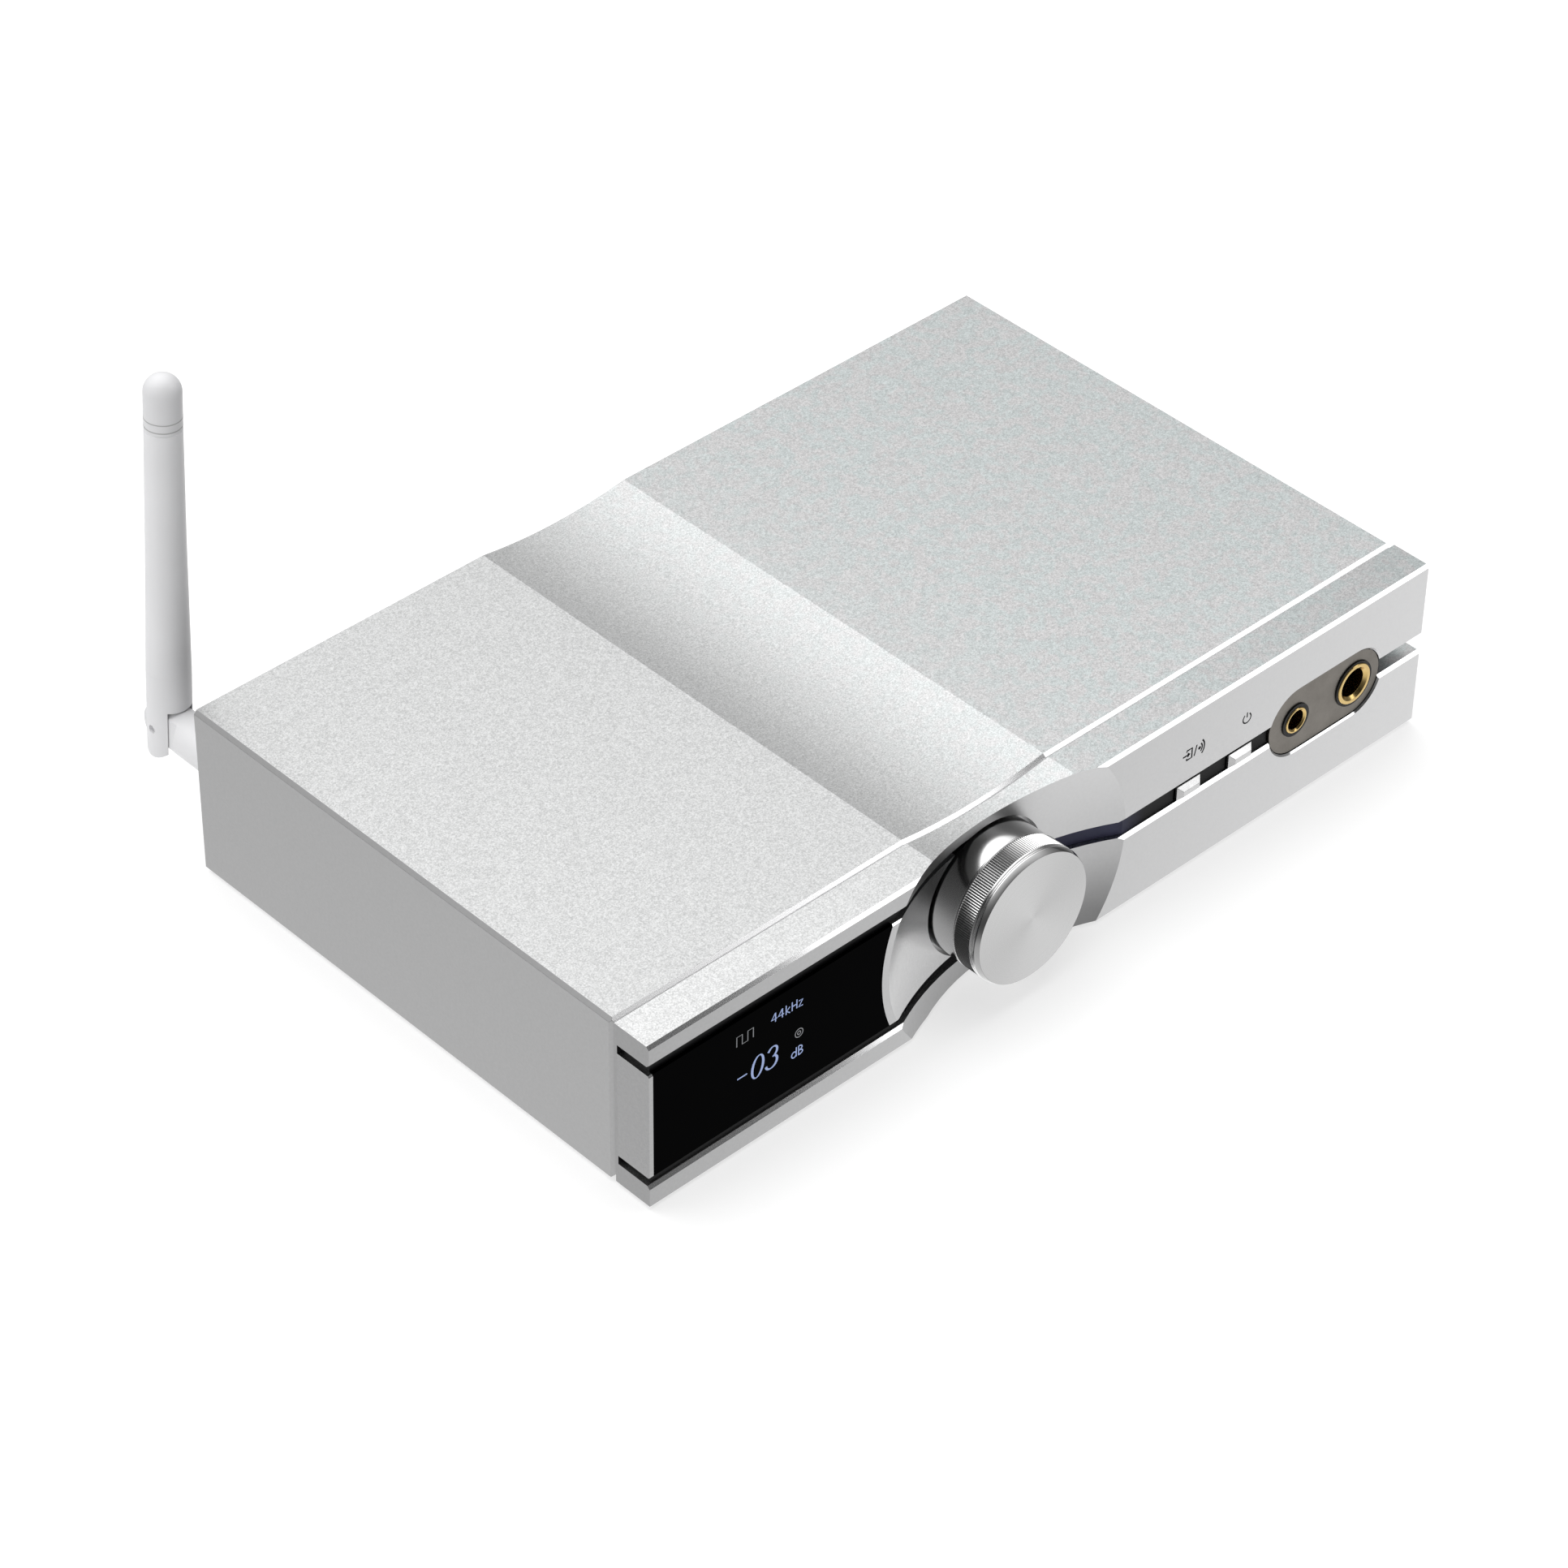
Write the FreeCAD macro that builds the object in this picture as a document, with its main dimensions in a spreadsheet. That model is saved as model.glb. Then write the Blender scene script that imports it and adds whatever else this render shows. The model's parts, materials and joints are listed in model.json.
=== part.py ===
import FreeCAD, Part
import os
import re
import Sketcher
from FreeCAD import Placement, Rotation, Vector

# Compact desktop hi-fi unit: a flat aluminium case with a dished front, a volume knob,
# two push buttons, two headphone sockets and a hinged aerial. Millimetres, X to the right,
# Y to the back, Z up, origin on the table under the middle of the whole object.

os.makedirs("parts", exist_ok=True)
doc = FreeCAD.newDocument("DesktopHifi")

DIMENSIONS = {
    # case
    "case_w": 214.0, "case_h": 39.9, "case_d": 132.3, "foot_lift": 1.1, "front_y": -75.0,
    "wall": 3.0, "bezel_d": 9.4, "web": 0.7, "plug_d": 3.6, "plug_gap": 0.1,
    "valley_r": 120.0, "valley_depth": 1.55, "front_chamfer": 1.45, "side_chamfer": 0.8,
    "bezel_chamfer": 0.67, "boss_r": 3.2, "boss_inset": 2.6, "screw_r": 1.25,
    "tap_r": 0.8, "thread_gap": 0.05, "bezel_head_r": 1.6, "bezel_head_t": 1.1, "bezel_sink": 2.2,
    "foot_x": 88.0, "foot_front": 24.0, "foot_rear": 112.0, "foot_r": 6.0, "foot_t": 1.9,
    # dished front and slots, heights above the case's underside
    "dish_x": -13.2, "dish_z": 21.0, "dish_rim": 32.4, "dish_sphere": 67.0,
    "channel_low": 4.9, "channel_high": 34.9, "slot_w": 2.1, "slot_chamfer": 0.66,
    "right_slot_low": 17.85, "right_slot_w": 4.05, "liner_set": 1.0,
    # display
    "glass_arc": 34.2, "glass_strip": 1.0, "glass_set": 0.15, "glass_t": 0.85,
    "seat_x": -101.0, "seat_w": 52.0, "seat_d": 4.3, "seat_h": 21.0, "oled_w": 46.0, "oled_h": 20.0,
    "ribbon_x": -81.0, "ribbon_w": 16.0, "ribbon_t": 0.3, "ribbon_back": 27.0, "block_edge": 0.35,
    "display_screw_d": 3.5,
    # knob and encoder
    "knob_hole_r": 15.6, "collar_r": 14.9, "knurl_r": 15.05, "knob_rear": 7.9, "knob_out": 6.5,
    "knurl_back": 0.2, "knurl_front": 4.3, "face_r": 14.6, "face_t": 1.0, "recess_r": 8.0,
    "recess_y": 4.9, "shaft_r": 3.0, "bush_r": 3.5, "running_gap": 0.05, "board_y": 17.5,
    "encoder_w": 12.0, "chamber_r": 5.3, "chamber_y": 13.9, "chamber_d": 1.8, "rotor_r": 5.0,
    "rotor_t": 1.4, "nut_r": 5.77, "nut_t": 2.0,
    # buttons
    "input_x": 37.7, "power_x": 52.7, "key_w": 6.6, "key_h": 3.3, "key_out": 0.65,
    "key_bevel": 1.0, "cap_d": 4.0, "stem_w": 3.0, "stem_h": 2.0, "stem_gap": 0.3, "flange_w": 5.0,
    "flange_h": 4.0, "flange_t": 0.8, "rest_gap": 0.05, "plunger_r": 1.2, "plunger_l": 1.9,
    "switch_w": 6.0, "switch_d": 2.4, "switch_way": 2.1,
    # headphone sockets
    "plate_x": 78.05, "plate_w": 33.0, "plate_h": 15.6, "plate_set": 0.5, "plate_t": 1.0,
    "plate_edge": 0.35,
    "small_x": 69.3, "small_ring": 3.85, "small_gold": 3.0, "small_bore": 2.25,
    "large_x": 86.8, "large_ring": 5.3, "large_gold": 4.75, "large_bore": 3.25,
    "bore_len": 8.0, "neck_set": 0.2, "seat_gap": 0.1,
    # rear
    "panel_t": 2.5, "panel_set": 0.5, "rear_gap": 0.1, "phono_r": 4.15, "phono_out": 8.5,
    "phono_bore": 1.7, "xlr_r": 11.8, "xlr_bore": 9.8, "xlr_d": 19.5, "xlr_flange_w": 26.0,
    "xlr_flange_h": 31.0, "optical_x": 42.4, "optical_w": 9.2, "optical_mouth": 6.2,
    "usb_x": 61.0, "usb_w": 12.0, "usb_h": 11.0, "usb_mouth_w": 8.6, "usb_mouth_h": 8.0,
    "power_inlet_x": 88.0, "power_inlet_r": 5.0, "power_bore": 2.85,
    # boards
    "pcb_t": 1.6, "pcb_low": 8.4, "post_r": 3.0, "board_head_r": 2.8, "board_head_t": 1.8,
    "can_r": 4.0, "can_h": 16.0, "shield_w": 30.0, "shield_d": 24.0, "shield_h": 4.0,
    # aerial
    "aerial_x": -99.0, "aerial_z": 22.6, "aerial_y": 76.9, "aerial_r": 4.6, "tip_r": 3.85,
    "tip_up": 78.5, "groove_up": 71.2, "seam_up": 13.2, "heel": 6.6, "tongue_w": 5.8,
    "tongue_gap": 0.2, "swing_gap": 0.3, "round_gap": 0.4, "hinge_pin_r": 0.9, "aerial_lean": 3.4,
    "thread_r": 3.175, "thread_bore": 3.25, "rod_wall": 1.0, "taper_up": 30.0, "groove_d": 0.2,
    "radiator_r": 0.8,
}

sheet = doc.addObject("Spreadsheet::Sheet", "Dims")
for row, (alias, number) in enumerate(DIMENSIONS.items(), 1):
    sheet.set(f"A{row}", alias)
    sheet.set(f"B{row}", str(number))
    sheet.setAlias(f"B{row}", alias)
doc.recompute()

pieces = {}


def dims(text):
    """Turn 'case_w / 2' into 'Dims.case_w / 2' for the expression engine."""
    return re.sub(r"[a-z][a-z_]+", lambda m: f"Dims.{m[0]}" if m[0] in DIMENSIONS else m[0], text)


def bind(thing, **texts):
    """Bind properties to expressions; an underscore in the keyword stands for a dot."""
    for path, text in texts.items():
        thing.setExpression(path.replace("_", "."), dims(text))


def place(thing, low):
    for axis, text in zip("xyz", low):
        thing.setExpression(f"Placement.Base.{axis}", dims(text))


def keep(thing, node):
    """Register a finished sub-part under its node name."""
    thing.Label = node
    pieces[node] = thing
    return thing


# ---------------------------------------------------------------- primitive helpers

TURN = {"x": Rotation(Vector(0, 1, 0), 90), "y": Rotation(Vector(1, 0, 0), -90), "z": Rotation()}


def box(name, size, low):
    made = doc.addObject("Part::Box", name)
    bind(made, Length=size[0], Width=size[1], Height=size[2])
    place(made, low)
    return made


def cylinder(name, radius, length, start, axis="y"):
    made = doc.addObject("Part::Cylinder", name)
    made.Placement = Placement(Vector(), TURN[axis])
    bind(made, Radius=radius, Height=length)
    place(made, start)
    return made


def sphere(name, radius, centre):
    made = doc.addObject("Part::Sphere", name)
    bind(made, Radius=radius)
    place(made, centre)
    return made


def edge_bar(name, length, chamfer, start):
    """Square bar along X on its edge: it cuts a 45 degree chamfer on both sides of a line."""
    made = doc.addObject("Part::Box", name)
    made.Placement = Placement(Vector(), Rotation(Vector(1, 0, 0), 45))
    side = f"({chamfer}) * sqrt(2)"
    bind(made, Length=length, Width=side, Height=side)
    place(made, (start[0], start[1], f"{start[2]} - ({chamfer})"))
    return made


def joined(name, parts):
    if len(parts) == 1:
        return parts[0]
    made = doc.addObject("Part::MultiFuse", name)
    made.Shapes = parts
    return made


def cut(name, base, tools):
    made = doc.addObject("Part::Cut", name)
    made.Base = base
    made.Tool = joined(name + "_tools", tools)
    return made


def grouped(name, parts):
    """Several separate solids of one kind in one node."""
    made = doc.addObject("Part::Compound", name)
    made.Links = parts
    return made


# ---------------------------------------------------------------- sketch helpers


def new_body(name):
    return doc.addObject("PartDesign::Body", name)


def sketch_on(body, name, plane, offset="0"):
    made = body.newObject("Sketcher::SketchObject", name)
    origin = next(item for item in body.Origin.OriginFeatures if item.Role == plane)
    made.AttachmentSupport = [(origin, "")]
    made.MapMode = "FlatFace"
    made.setExpression("AttachmentOffset.Base.z", dims(offset))
    return made


def fix_point(sketch, geometry, corner, where):
    for kind, text in zip(("DistanceX", "DistanceY"), where):
        rule = sketch.addConstraint(Sketcher.Constraint(kind, -1, 1, geometry, corner, 1.0))
        sketch.setExpression(f"Constraints[{rule}]", dims(text))


def polygon(sketch, points):
    count = len(points)
    first = sketch.GeometryCount
    circle = Part.Circle(Vector(), Vector(0, 0, 1), 5)
    spots = [circle.value(6.283185307 * i / count) for i in range(count)]
    for i in range(count):
        sketch.addGeometry(Part.LineSegment(spots[i], spots[(i + 1) % count]), False)
    for i in range(count):
        following = first + (i + 1) % count
        sketch.addConstraint(Sketcher.Constraint("Coincident", first + i, 2, following, 1))
    for i, where in enumerate(points):
        fix_point(sketch, first + i, 1, where)


def rectangle(sketch, low, size):
    right = f"{low[0]} + {size[0]}"
    top = f"{low[1]} + {size[1]}"
    polygon(sketch, [low, (right, low[1]), (right, top), (low[0], top)])


def ring(sketch, centre, radius):
    made = sketch.addGeometry(Part.Circle(Vector(1, 1, 0), Vector(0, 0, 1), 1), False)
    fix_point(sketch, made, 3, centre)
    rule = sketch.addConstraint(Sketcher.Constraint("Radius", made, 1.0))
    sketch.setExpression(f"Constraints[{rule}]", dims(radius))


def pad(body, sketch, length, back=True):
    made = body.newObject("PartDesign::Pad", sketch.Name + "_pad")
    made.Profile = sketch
    made.Reversed = back
    made.setExpression("Length", dims(length))
    body.Tip = made
    return made


def pocket(body, sketch, length, back=True):
    """Cut to a depth; on the XZ plane a cut towards +Y needs the feature's own direction."""
    made = body.newObject("PartDesign::Pocket", sketch.Name + "_pocket")
    made.Profile = sketch
    made.Reversed = not back
    made.setExpression("Length", dims(length))
    body.Tip = made
    return made


def turned(name, points):
    """Body of revolution about Y through its own origin, from (radius, y) points."""
    body = new_body(name)
    profile = sketch_on(body, name + "_profile", "XY_Plane")
    polygon(profile, points)
    made = body.newObject("PartDesign::Revolution", name + "_turn")
    made.Profile = profile
    made.ReferenceAxis = (profile, ["V_Axis"])
    made.Angle = 360
    body.Tip = made
    return body


def edges_where(feature, test):
    shape = feature.Shape
    return [f"Edge{i}" for i, edge in enumerate(shape.Edges, 1) if test(edge.BoundBox)]


def chamfer(body, feature, test, size):
    made = body.newObject("PartDesign::Chamfer", feature.Name + "_chamfer")
    made.Base = (feature, edges_where(feature, test))
    made.setExpression("Size", dims(size))
    body.Tip = made
    return made


def near(a, b):
    return abs(a - b) < 1e-4


# ---------------------------------------------------------------- case shells


def valleys(body, offset, length):
    """Shallow round valleys down the top and the underside, in line with the knob."""
    curve = sketch_on(body, body.Name + "_valleys", "XZ_Plane", offset)
    ring(curve, ("dish_x", "foot_lift + case_h + valley_r - valley_depth"), "valley_r")
    ring(curve, ("dish_x", "foot_lift - valley_r + valley_depth"), "valley_r")
    return pocket(body, curve, length)


def case_outline(body, offset):
    outline = sketch_on(body, body.Name + "_outline", "XZ_Plane", offset)
    rectangle(outline, ("-case_w / 2", "foot_lift"), ("case_w", "case_h"))
    return outline


def boss_places():
    side = "(case_w / 2 - wall - boss_inset)"
    low = "foot_lift + wall + boss_inset"
    high = "foot_lift + case_h - wall - boss_inset"
    return [(f"{sign}{side}", height) for sign in ("-", "") for height in (low, high)]


def foot_places():
    return [(f"{sign}foot_x", f"front_y + {y}") for sign in ("-", "") for y in ("foot_front", "foot_rear")]


def build_sleeve():
    body = new_body("sleeve")
    start = "front_y + bezel_d"
    length = "case_d - bezel_d"
    pad(body, case_outline(body, f"-({start})"), length)
    rounded = valleys(body, f"-({start})", length)
    doc.recompute()
    front = sheet.get("front_y") + sheet.get("bezel_d")
    bevelled = chamfer(body, rounded, lambda b: near(b.YMin, front) and near(b.YMax, front),
                       "front_chamfer")
    doc.recompute()
    top = sheet.get("foot_lift") + sheet.get("case_h")
    chamfer(body, bevelled, lambda b: near(b.ZMin, top) and near(b.ZMax, top)
            and b.YLength > 100 and abs(b.XMax) > 100, "side_chamfer")
    hollow = sketch_on(body, "hollow", "XZ_Plane", f"-({start})")
    rectangle(hollow, ("-case_w / 2 + wall", "foot_lift + wall"),
              ("case_w - 2 * wall", "case_h - 2 * wall"))
    pocket(body, hollow, length)
    bosses = sketch_on(body, "bosses", "XZ_Plane", f"-({start} + plug_d)")
    for place_xz in boss_places():
        ring(bosses, place_xz, "boss_r")
    pad(body, bosses, "case_d - bezel_d - plug_d - panel_t - panel_set")
    holes = sketch_on(body, "boss_holes", "XZ_Plane", f"-({start} + plug_d)")
    for place_xz in boss_places():
        ring(holes, place_xz, "screw_r")
    pocket(body, holes, length)
    tools = [cylinder(f"foot_seat_{i}", "foot_r + 0.05", "foot_t - 0.1", (x, y, "foot_lift - 1"), "z")
             for i, (x, y) in enumerate(foot_places())]
    for i, (x, y) in enumerate(bezel_screw_places):
        under = (x, y, "foot_lift - 1")
        tools.append(cylinder(f"bezel_screw_way_{i}", "tap_r + 0.25", "wall + 2", under, "z"))
        tools.append(cylinder(f"bezel_screw_sink_{i}", "bezel_head_r + 0.1", "bezel_sink", under, "z"))
    keep(cut("sleeve_cut", body, tools), "case_sleeve")


# Screws that hold the bezel's plug, put in from below.
bezel_screw_places = [(x, "front_y + bezel_d + plug_d / 2 + 0.4") for x in ("-70", "20", "90")]


seat_w, seat_h = "(plate_w + 4 * seat_gap)", "(plate_h + 4 * seat_gap)"


def stadium(name, width, height, length, start_y):
    """Round-ended slab about the headphone sockets' centre."""
    reach = f"({width} - {height}) / 2"
    middle = box(name + "_middle", (f"{width} - {height}", length, height),
                 (f"plate_x - {reach}", start_y, f"dish_z - {height} / 2"))
    ends = [cylinder(f"{name}_end_{i}", f"{height} / 2", length,
                     (f"plate_x {sign} {reach}", start_y, "dish_z")) for i, sign in enumerate("-+")]
    return [middle, *ends]


def seat_edges():
    """Cutters for a fine chamfer round the mouth of the plate's seat."""
    reach = f"({seat_w} - {seat_h}) / 2"
    radius = f"{seat_h} / 2"
    tools = []
    for i, sign in enumerate("-+"):
        cone = doc.addObject("Part::Cone", f"plate_edge_end_{i}")
        cone.Placement = Placement(Vector(), TURN["y"])
        bind(cone, Radius1=f"{radius} + plate_edge + 0.1", Radius2=f"{radius} - 0.1",
             Height="plate_edge + 0.2")
        place(cone, (f"plate_x {sign} {reach}", "front_y - 0.1", "dish_z"))
        tools += [cone, edge_bar(f"plate_edge_side_{i}", f"2 * {reach}", "plate_edge",
                                 (f"plate_x - {reach}", "front_y", f"dish_z {sign} {radius}"))]
    return tools


def dish(name, extra="0"):
    return sphere(name, f"dish_sphere + {extra}",
                  ("dish_x", "front_y - sqrt(dish_sphere ^ 2 - dish_rim ^ 2)", "dish_z"))


def build_bezel():
    body = new_body("bezel_blank")
    pad(body, case_outline(body, "-front_y"), "bezel_d")
    rounded = valleys(body, "-front_y", "bezel_d")
    doc.recompute()
    front = sheet.get("front_y")
    middle = sheet.get("foot_lift") + sheet.get("case_h") / 2
    chamfer(body, rounded, lambda b: near(b.YMin, front) and near(b.YMax, front)
            and b.ZMin > middle, "bezel_chamfer")
    plug = sketch_on(body, "bezel_plug", "XZ_Plane", "-(front_y + bezel_d)")
    rectangle(plug, ("-case_w / 2 + wall + plug_gap", "foot_lift + wall + plug_gap"),
              ("case_w - 2 * wall - 2 * plug_gap", "case_h - 2 * wall - 2 * plug_gap"))
    pad(body, plug, "plug_d")

    depth = "bezel_d - web + 1"
    before = "front_y - 1"
    through = "bezel_d + plug_d + 2"
    side = "case_w / 2 + 1"
    tools = [
        dish("bezel_dish"),
        box("display_channel", (f"dish_x + {side}", depth, "channel_high - channel_low"),
            (f"-({side})", before, "foot_lift + channel_low")),
        box("right_slot", (f"{side} - dish_x", depth, "right_slot_w"),
            ("dish_x", before, "foot_lift + right_slot_low")),
        cylinder("knob_hole", "knob_hole_r", depth, ("dish_x", before, "dish_z")),
        cylinder("bush_hole", "bush_r + seat_gap", through, ("dish_x", before, "dish_z")),
        ribbon_window("bezel_ribbon_window", through, before),
        cylinder("small_jack_hole", "small_ring + seat_gap", through, ("small_x", before, "dish_z")),
        cylinder("large_jack_hole", "large_ring + seat_gap", through, ("large_x", before, "dish_z")),
        *stadium("plate_seat", seat_w, seat_h, "plate_set + plate_t + 1", before),
        *seat_edges(),
        edge_bar("low_arm_edge", f"dish_x + {side}", "slot_chamfer",
                 (f"-({side})", "front_y", "foot_lift + channel_low")),
        edge_bar("high_arm_edge", f"dish_x + {side}", "slot_chamfer",
                 (f"-({side})", "front_y", "foot_lift + channel_high")),
        edge_bar("right_low_edge", f"{side} - dish_x", "slot_chamfer",
                 ("dish_x", "front_y", "foot_lift + right_slot_low")),
        edge_bar("right_high_edge", f"{side} - dish_x", "slot_chamfer",
                 ("dish_x", "front_y", "foot_lift + right_slot_low + right_slot_w")),
    ]
    for name, x in buttons:
        tools.append(stem_way(name + "_bezel_stem", x, through, before))
    for i, x in enumerate(display_screw_x):
        tools.append(cylinder(f"display_screw_way_{i}", "tap_r + 0.3", through, (x, before, "dish_z")))
    for i, (x, y) in enumerate(bezel_screw_places):
        start = (x, y, "foot_lift")
        tools.append(cylinder(f"bezel_screw_tap_{i}", "tap_r + thread_gap", "wall + 6", start, "z"))
    keep(cut("bezel_cut", body, tools), "front_bezel")


buttons = (("input", "input_x"), ("power", "power_x"))
display_screw_x = ("-92", "-38")


def ribbon_window(name, length, start_y):
    return box(name, ("ribbon_w + 2", length, "5"), ("ribbon_x - 1", start_y, "dish_z - 2.5"))


def stem_way(name, x, length, start_y):
    """Opening for a button's stem, with a gap all round."""
    return box(name, ("stem_w + 2 * stem_gap", length, "stem_h + 2 * stem_gap"),
               (f"{x} - stem_w / 2 - stem_gap", start_y, "dish_z - stem_h / 2 - stem_gap"))


def build_bezel_screws():
    screws = []
    for i, (x, y) in enumerate(bezel_screw_places):
        head = cylinder(f"bezel_screw_head_{i}", "bezel_head_r", "bezel_head_t",
                        (x, y, "foot_lift + 0.1"), "z")
        shank = cylinder(f"bezel_screw_shank_{i}", "tap_r", "wall + 4", (x, y, "foot_lift + 1"), "z")
        drive = hexagon(f"bezel_screw_drive_{i}", "0.9", "0.7", (x, y, "foot_lift"), "z")
        screws.append(cut(f"bezel_screw_{i}", joined(f"bezel_screw_body_{i}", [head, shank]), [drive]))
    keep(grouped("bezel_screw_group", screws), "bezel_screws")


def build_feet():
    feet = [cylinder(f"foot_{i}", "foot_r", "foot_t", (x, y, "0"), "z")
            for i, (x, y) in enumerate(foot_places())]
    keep(grouped("foot_group", feet), "rubber_feet")


# ---------------------------------------------------------------- display


def build_display():
    low = "foot_lift + channel_low + slot_w"
    tall = "channel_high - channel_low - 2 * slot_w"
    left = "-case_w / 2"
    wide = f"dish_x - {left}"
    before = "front_y - 1"
    tap_start = "front_y + bezel_d - web - display_screw_d"
    block = box("display_blank", (wide, "bezel_d - web", tall), (left, "front_y", low))
    seat = box("glass_seat_box", (f"{wide} - glass_strip", "2", f"{tall} + 1"),
               (f"{left} + glass_strip", before, f"{low} - 0.5"))
    seat_arc = cylinder("glass_seat_arc", "glass_arc", "4", ("dish_x", "front_y - 2", "dish_z"))
    tools = [
        cut("glass_seat", seat, [seat_arc]),
        dish("display_dish"),
        cylinder("display_knob_hole", "knob_hole_r", "bezel_d + 2", ("dish_x", before, "dish_z")),
        box("panel_seat", ("seat_w", "seat_d", "seat_h"), ("seat_x", "front_y", "dish_z - seat_h / 2")),
        ribbon_window("display_ribbon_window", "bezel_d", "front_y"),
        edge_bar("display_low_edge", f"{wide} + 2", "block_edge", (f"{left} - 1", "front_y", low)),
        edge_bar("display_high_edge", f"{wide} + 2", "block_edge",
                 (f"{left} - 1", "front_y", f"{low} + {tall}")),
    ]
    for i, x in enumerate(display_screw_x):
        tools.append(cylinder(f"display_screw_tap_{i}", "tap_r + thread_gap", "5", (x, tap_start, "dish_z")))
    keep(cut("display_cut", block, tools), "display_block")

    gap = "seat_gap"
    glass = box("glass_blank",
                (f"{wide} - glass_strip - 2 * {gap}", "glass_t", f"{tall} - 2 * {gap}"),
                (f"{left} + glass_strip + {gap}", "front_y + glass_set", f"{low} + {gap}"))
    arc = cylinder("glass_end_arc", f"glass_arc + {gap}", "4", ("dish_x", "front_y - 2", "dish_z"))
    keep(cut("glass_cut", glass, [arc]), "display_glass")
    keep(box("oled", ("oled_w", "1.5", "oled_h"),
             ("seat_x + 3", "front_y + glass_set + glass_t", "dish_z - oled_h / 2")), "oled_panel")
    keep(box("oled_carrier", ("seat_w - 1", "pcb_t", "seat_h - 0.4"),
             ("seat_x + 0.5", "front_y + 2.6", "dish_z - seat_h / 2 + 0.2")), "oled_board")

    ribbon = new_body("ribbon")
    path = sketch_on(ribbon, "ribbon_path", "YZ_Plane", "ribbon_x")
    board_top = "foot_lift + pcb_low + pcb_t"
    polygon(path, [("front_y + 4.2", "dish_z"), ("front_y + ribbon_back", "dish_z"),
                   ("front_y + ribbon_back", board_top),
                   ("front_y + ribbon_back + ribbon_t", board_top),
                   ("front_y + ribbon_back + ribbon_t", "dish_z + ribbon_t"),
                   ("front_y + 4.2", "dish_z + ribbon_t")])
    pad(ribbon, path, "ribbon_w", back=False)
    keep(ribbon, "display_ribbon")

    screws = []
    for i, x in enumerate(display_screw_x):
        shank = cylinder(f"display_shank_{i}", "tap_r", "plug_d + web + display_screw_d",
                         (x, tap_start, "dish_z"))
        head = cylinder(f"display_head_{i}", "1.9", "1.3", (x, "front_y + bezel_d + plug_d", "dish_z"))
        screws.append(joined(f"display_screw_{i}", [shank, head]))
    keep(grouped("display_screw_group", screws), "display_screws")


def liner(name, node, x_low, x_high, low, slot, ways):
    """Dark strip that fills a slot to just behind the metal's surface."""
    fit = "0.02"
    blank = box(name, (f"{x_high} - ({x_low})", "bezel_d - web - liner_set", f"{slot} - 2 * {fit}"),
                (x_low, "front_y + liner_set", f"{low} + {fit}"))
    hole = cylinder(name + "_hole", "knob_hole_r + 0.2", "bezel_d + 2", ("dish_x", "front_y - 1", "dish_z"))
    keep(cut(name + "_cut", blank, [dish(name + "_dish", "liner_set"), hole, *ways]), node)


def build_liners():
    left = "-case_w / 2 + liner_set"
    low = "foot_lift + channel_low"
    high = "foot_lift + channel_high - slot_w"
    liner("liner_low", "lower_slot_liner", left, "dish_x", low, "slot_w", [])
    liner("liner_high", "upper_slot_liner", left, "dish_x", high, "slot_w", [])
    ways = []
    for name, x in buttons:
        ways.append(box(name + "_key_way", ("key_w + 2 * stem_gap", "cap_d + 2", "right_slot_w + 2"),
                        (f"{x} - key_w / 2 - stem_gap", "front_y - 1", "foot_lift + right_slot_low - 1")))
        ways.append(stem_way(name + "_liner_stem", x, "bezel_d", "front_y"))
    liner("liner_right", "right_slot_liner", "dish_x", "plate_x - plate_w / 2 - 0.3",
          "foot_lift + right_slot_low", "right_slot_w", ways)


# ---------------------------------------------------------------- knob and encoder


def build_knob():
    knob = turned("knob_turning", [
        ("0", "-knob_out + face_t"), ("face_r", "-knob_out + face_t"), ("face_r", "-knob_out"),
        ("face_r + 0.1", "-knob_out"), ("knurl_r", "-knob_out + 0.6"), ("knurl_r", "-knurl_front - 0.5"),
        ("knurl_r - 0.4", "-knurl_front - 0.5"), ("knurl_r - 0.4", "-knurl_front"),
        ("knurl_r", "-knurl_front"), ("knurl_r", "knurl_back - 0.3"), ("knurl_r - 0.3", "knurl_back"),
        ("collar_r", "knurl_back"), ("collar_r", "knob_rear"), ("recess_r", "knob_rear"),
        ("recess_r", "recess_y"), ("shaft_r", "recess_y"), ("shaft_r", "-2"), ("0", "-2")])
    place(knob, ("dish_x", "front_y", "dish_z"))
    keep(knob, "volume_knob")
    keep(cylinder("knob_disc", "face_r", "face_t", ("dish_x", "front_y - knob_out", "dish_z")), "knob_face")
    keep(cylinder("shaft", "shaft_r", "18.2", ("dish_x", "front_y - 2", "dish_z")), "encoder_shaft")


def hexagon(name, across_r, length, start, axis="y"):
    made = doc.addObject("Part::Prism", name)
    made.Polygon = 6
    made.Placement = Placement(Vector(), TURN[axis])
    bind(made, Circumradius=across_r, Height=length)
    place(made, start)
    return made


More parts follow.
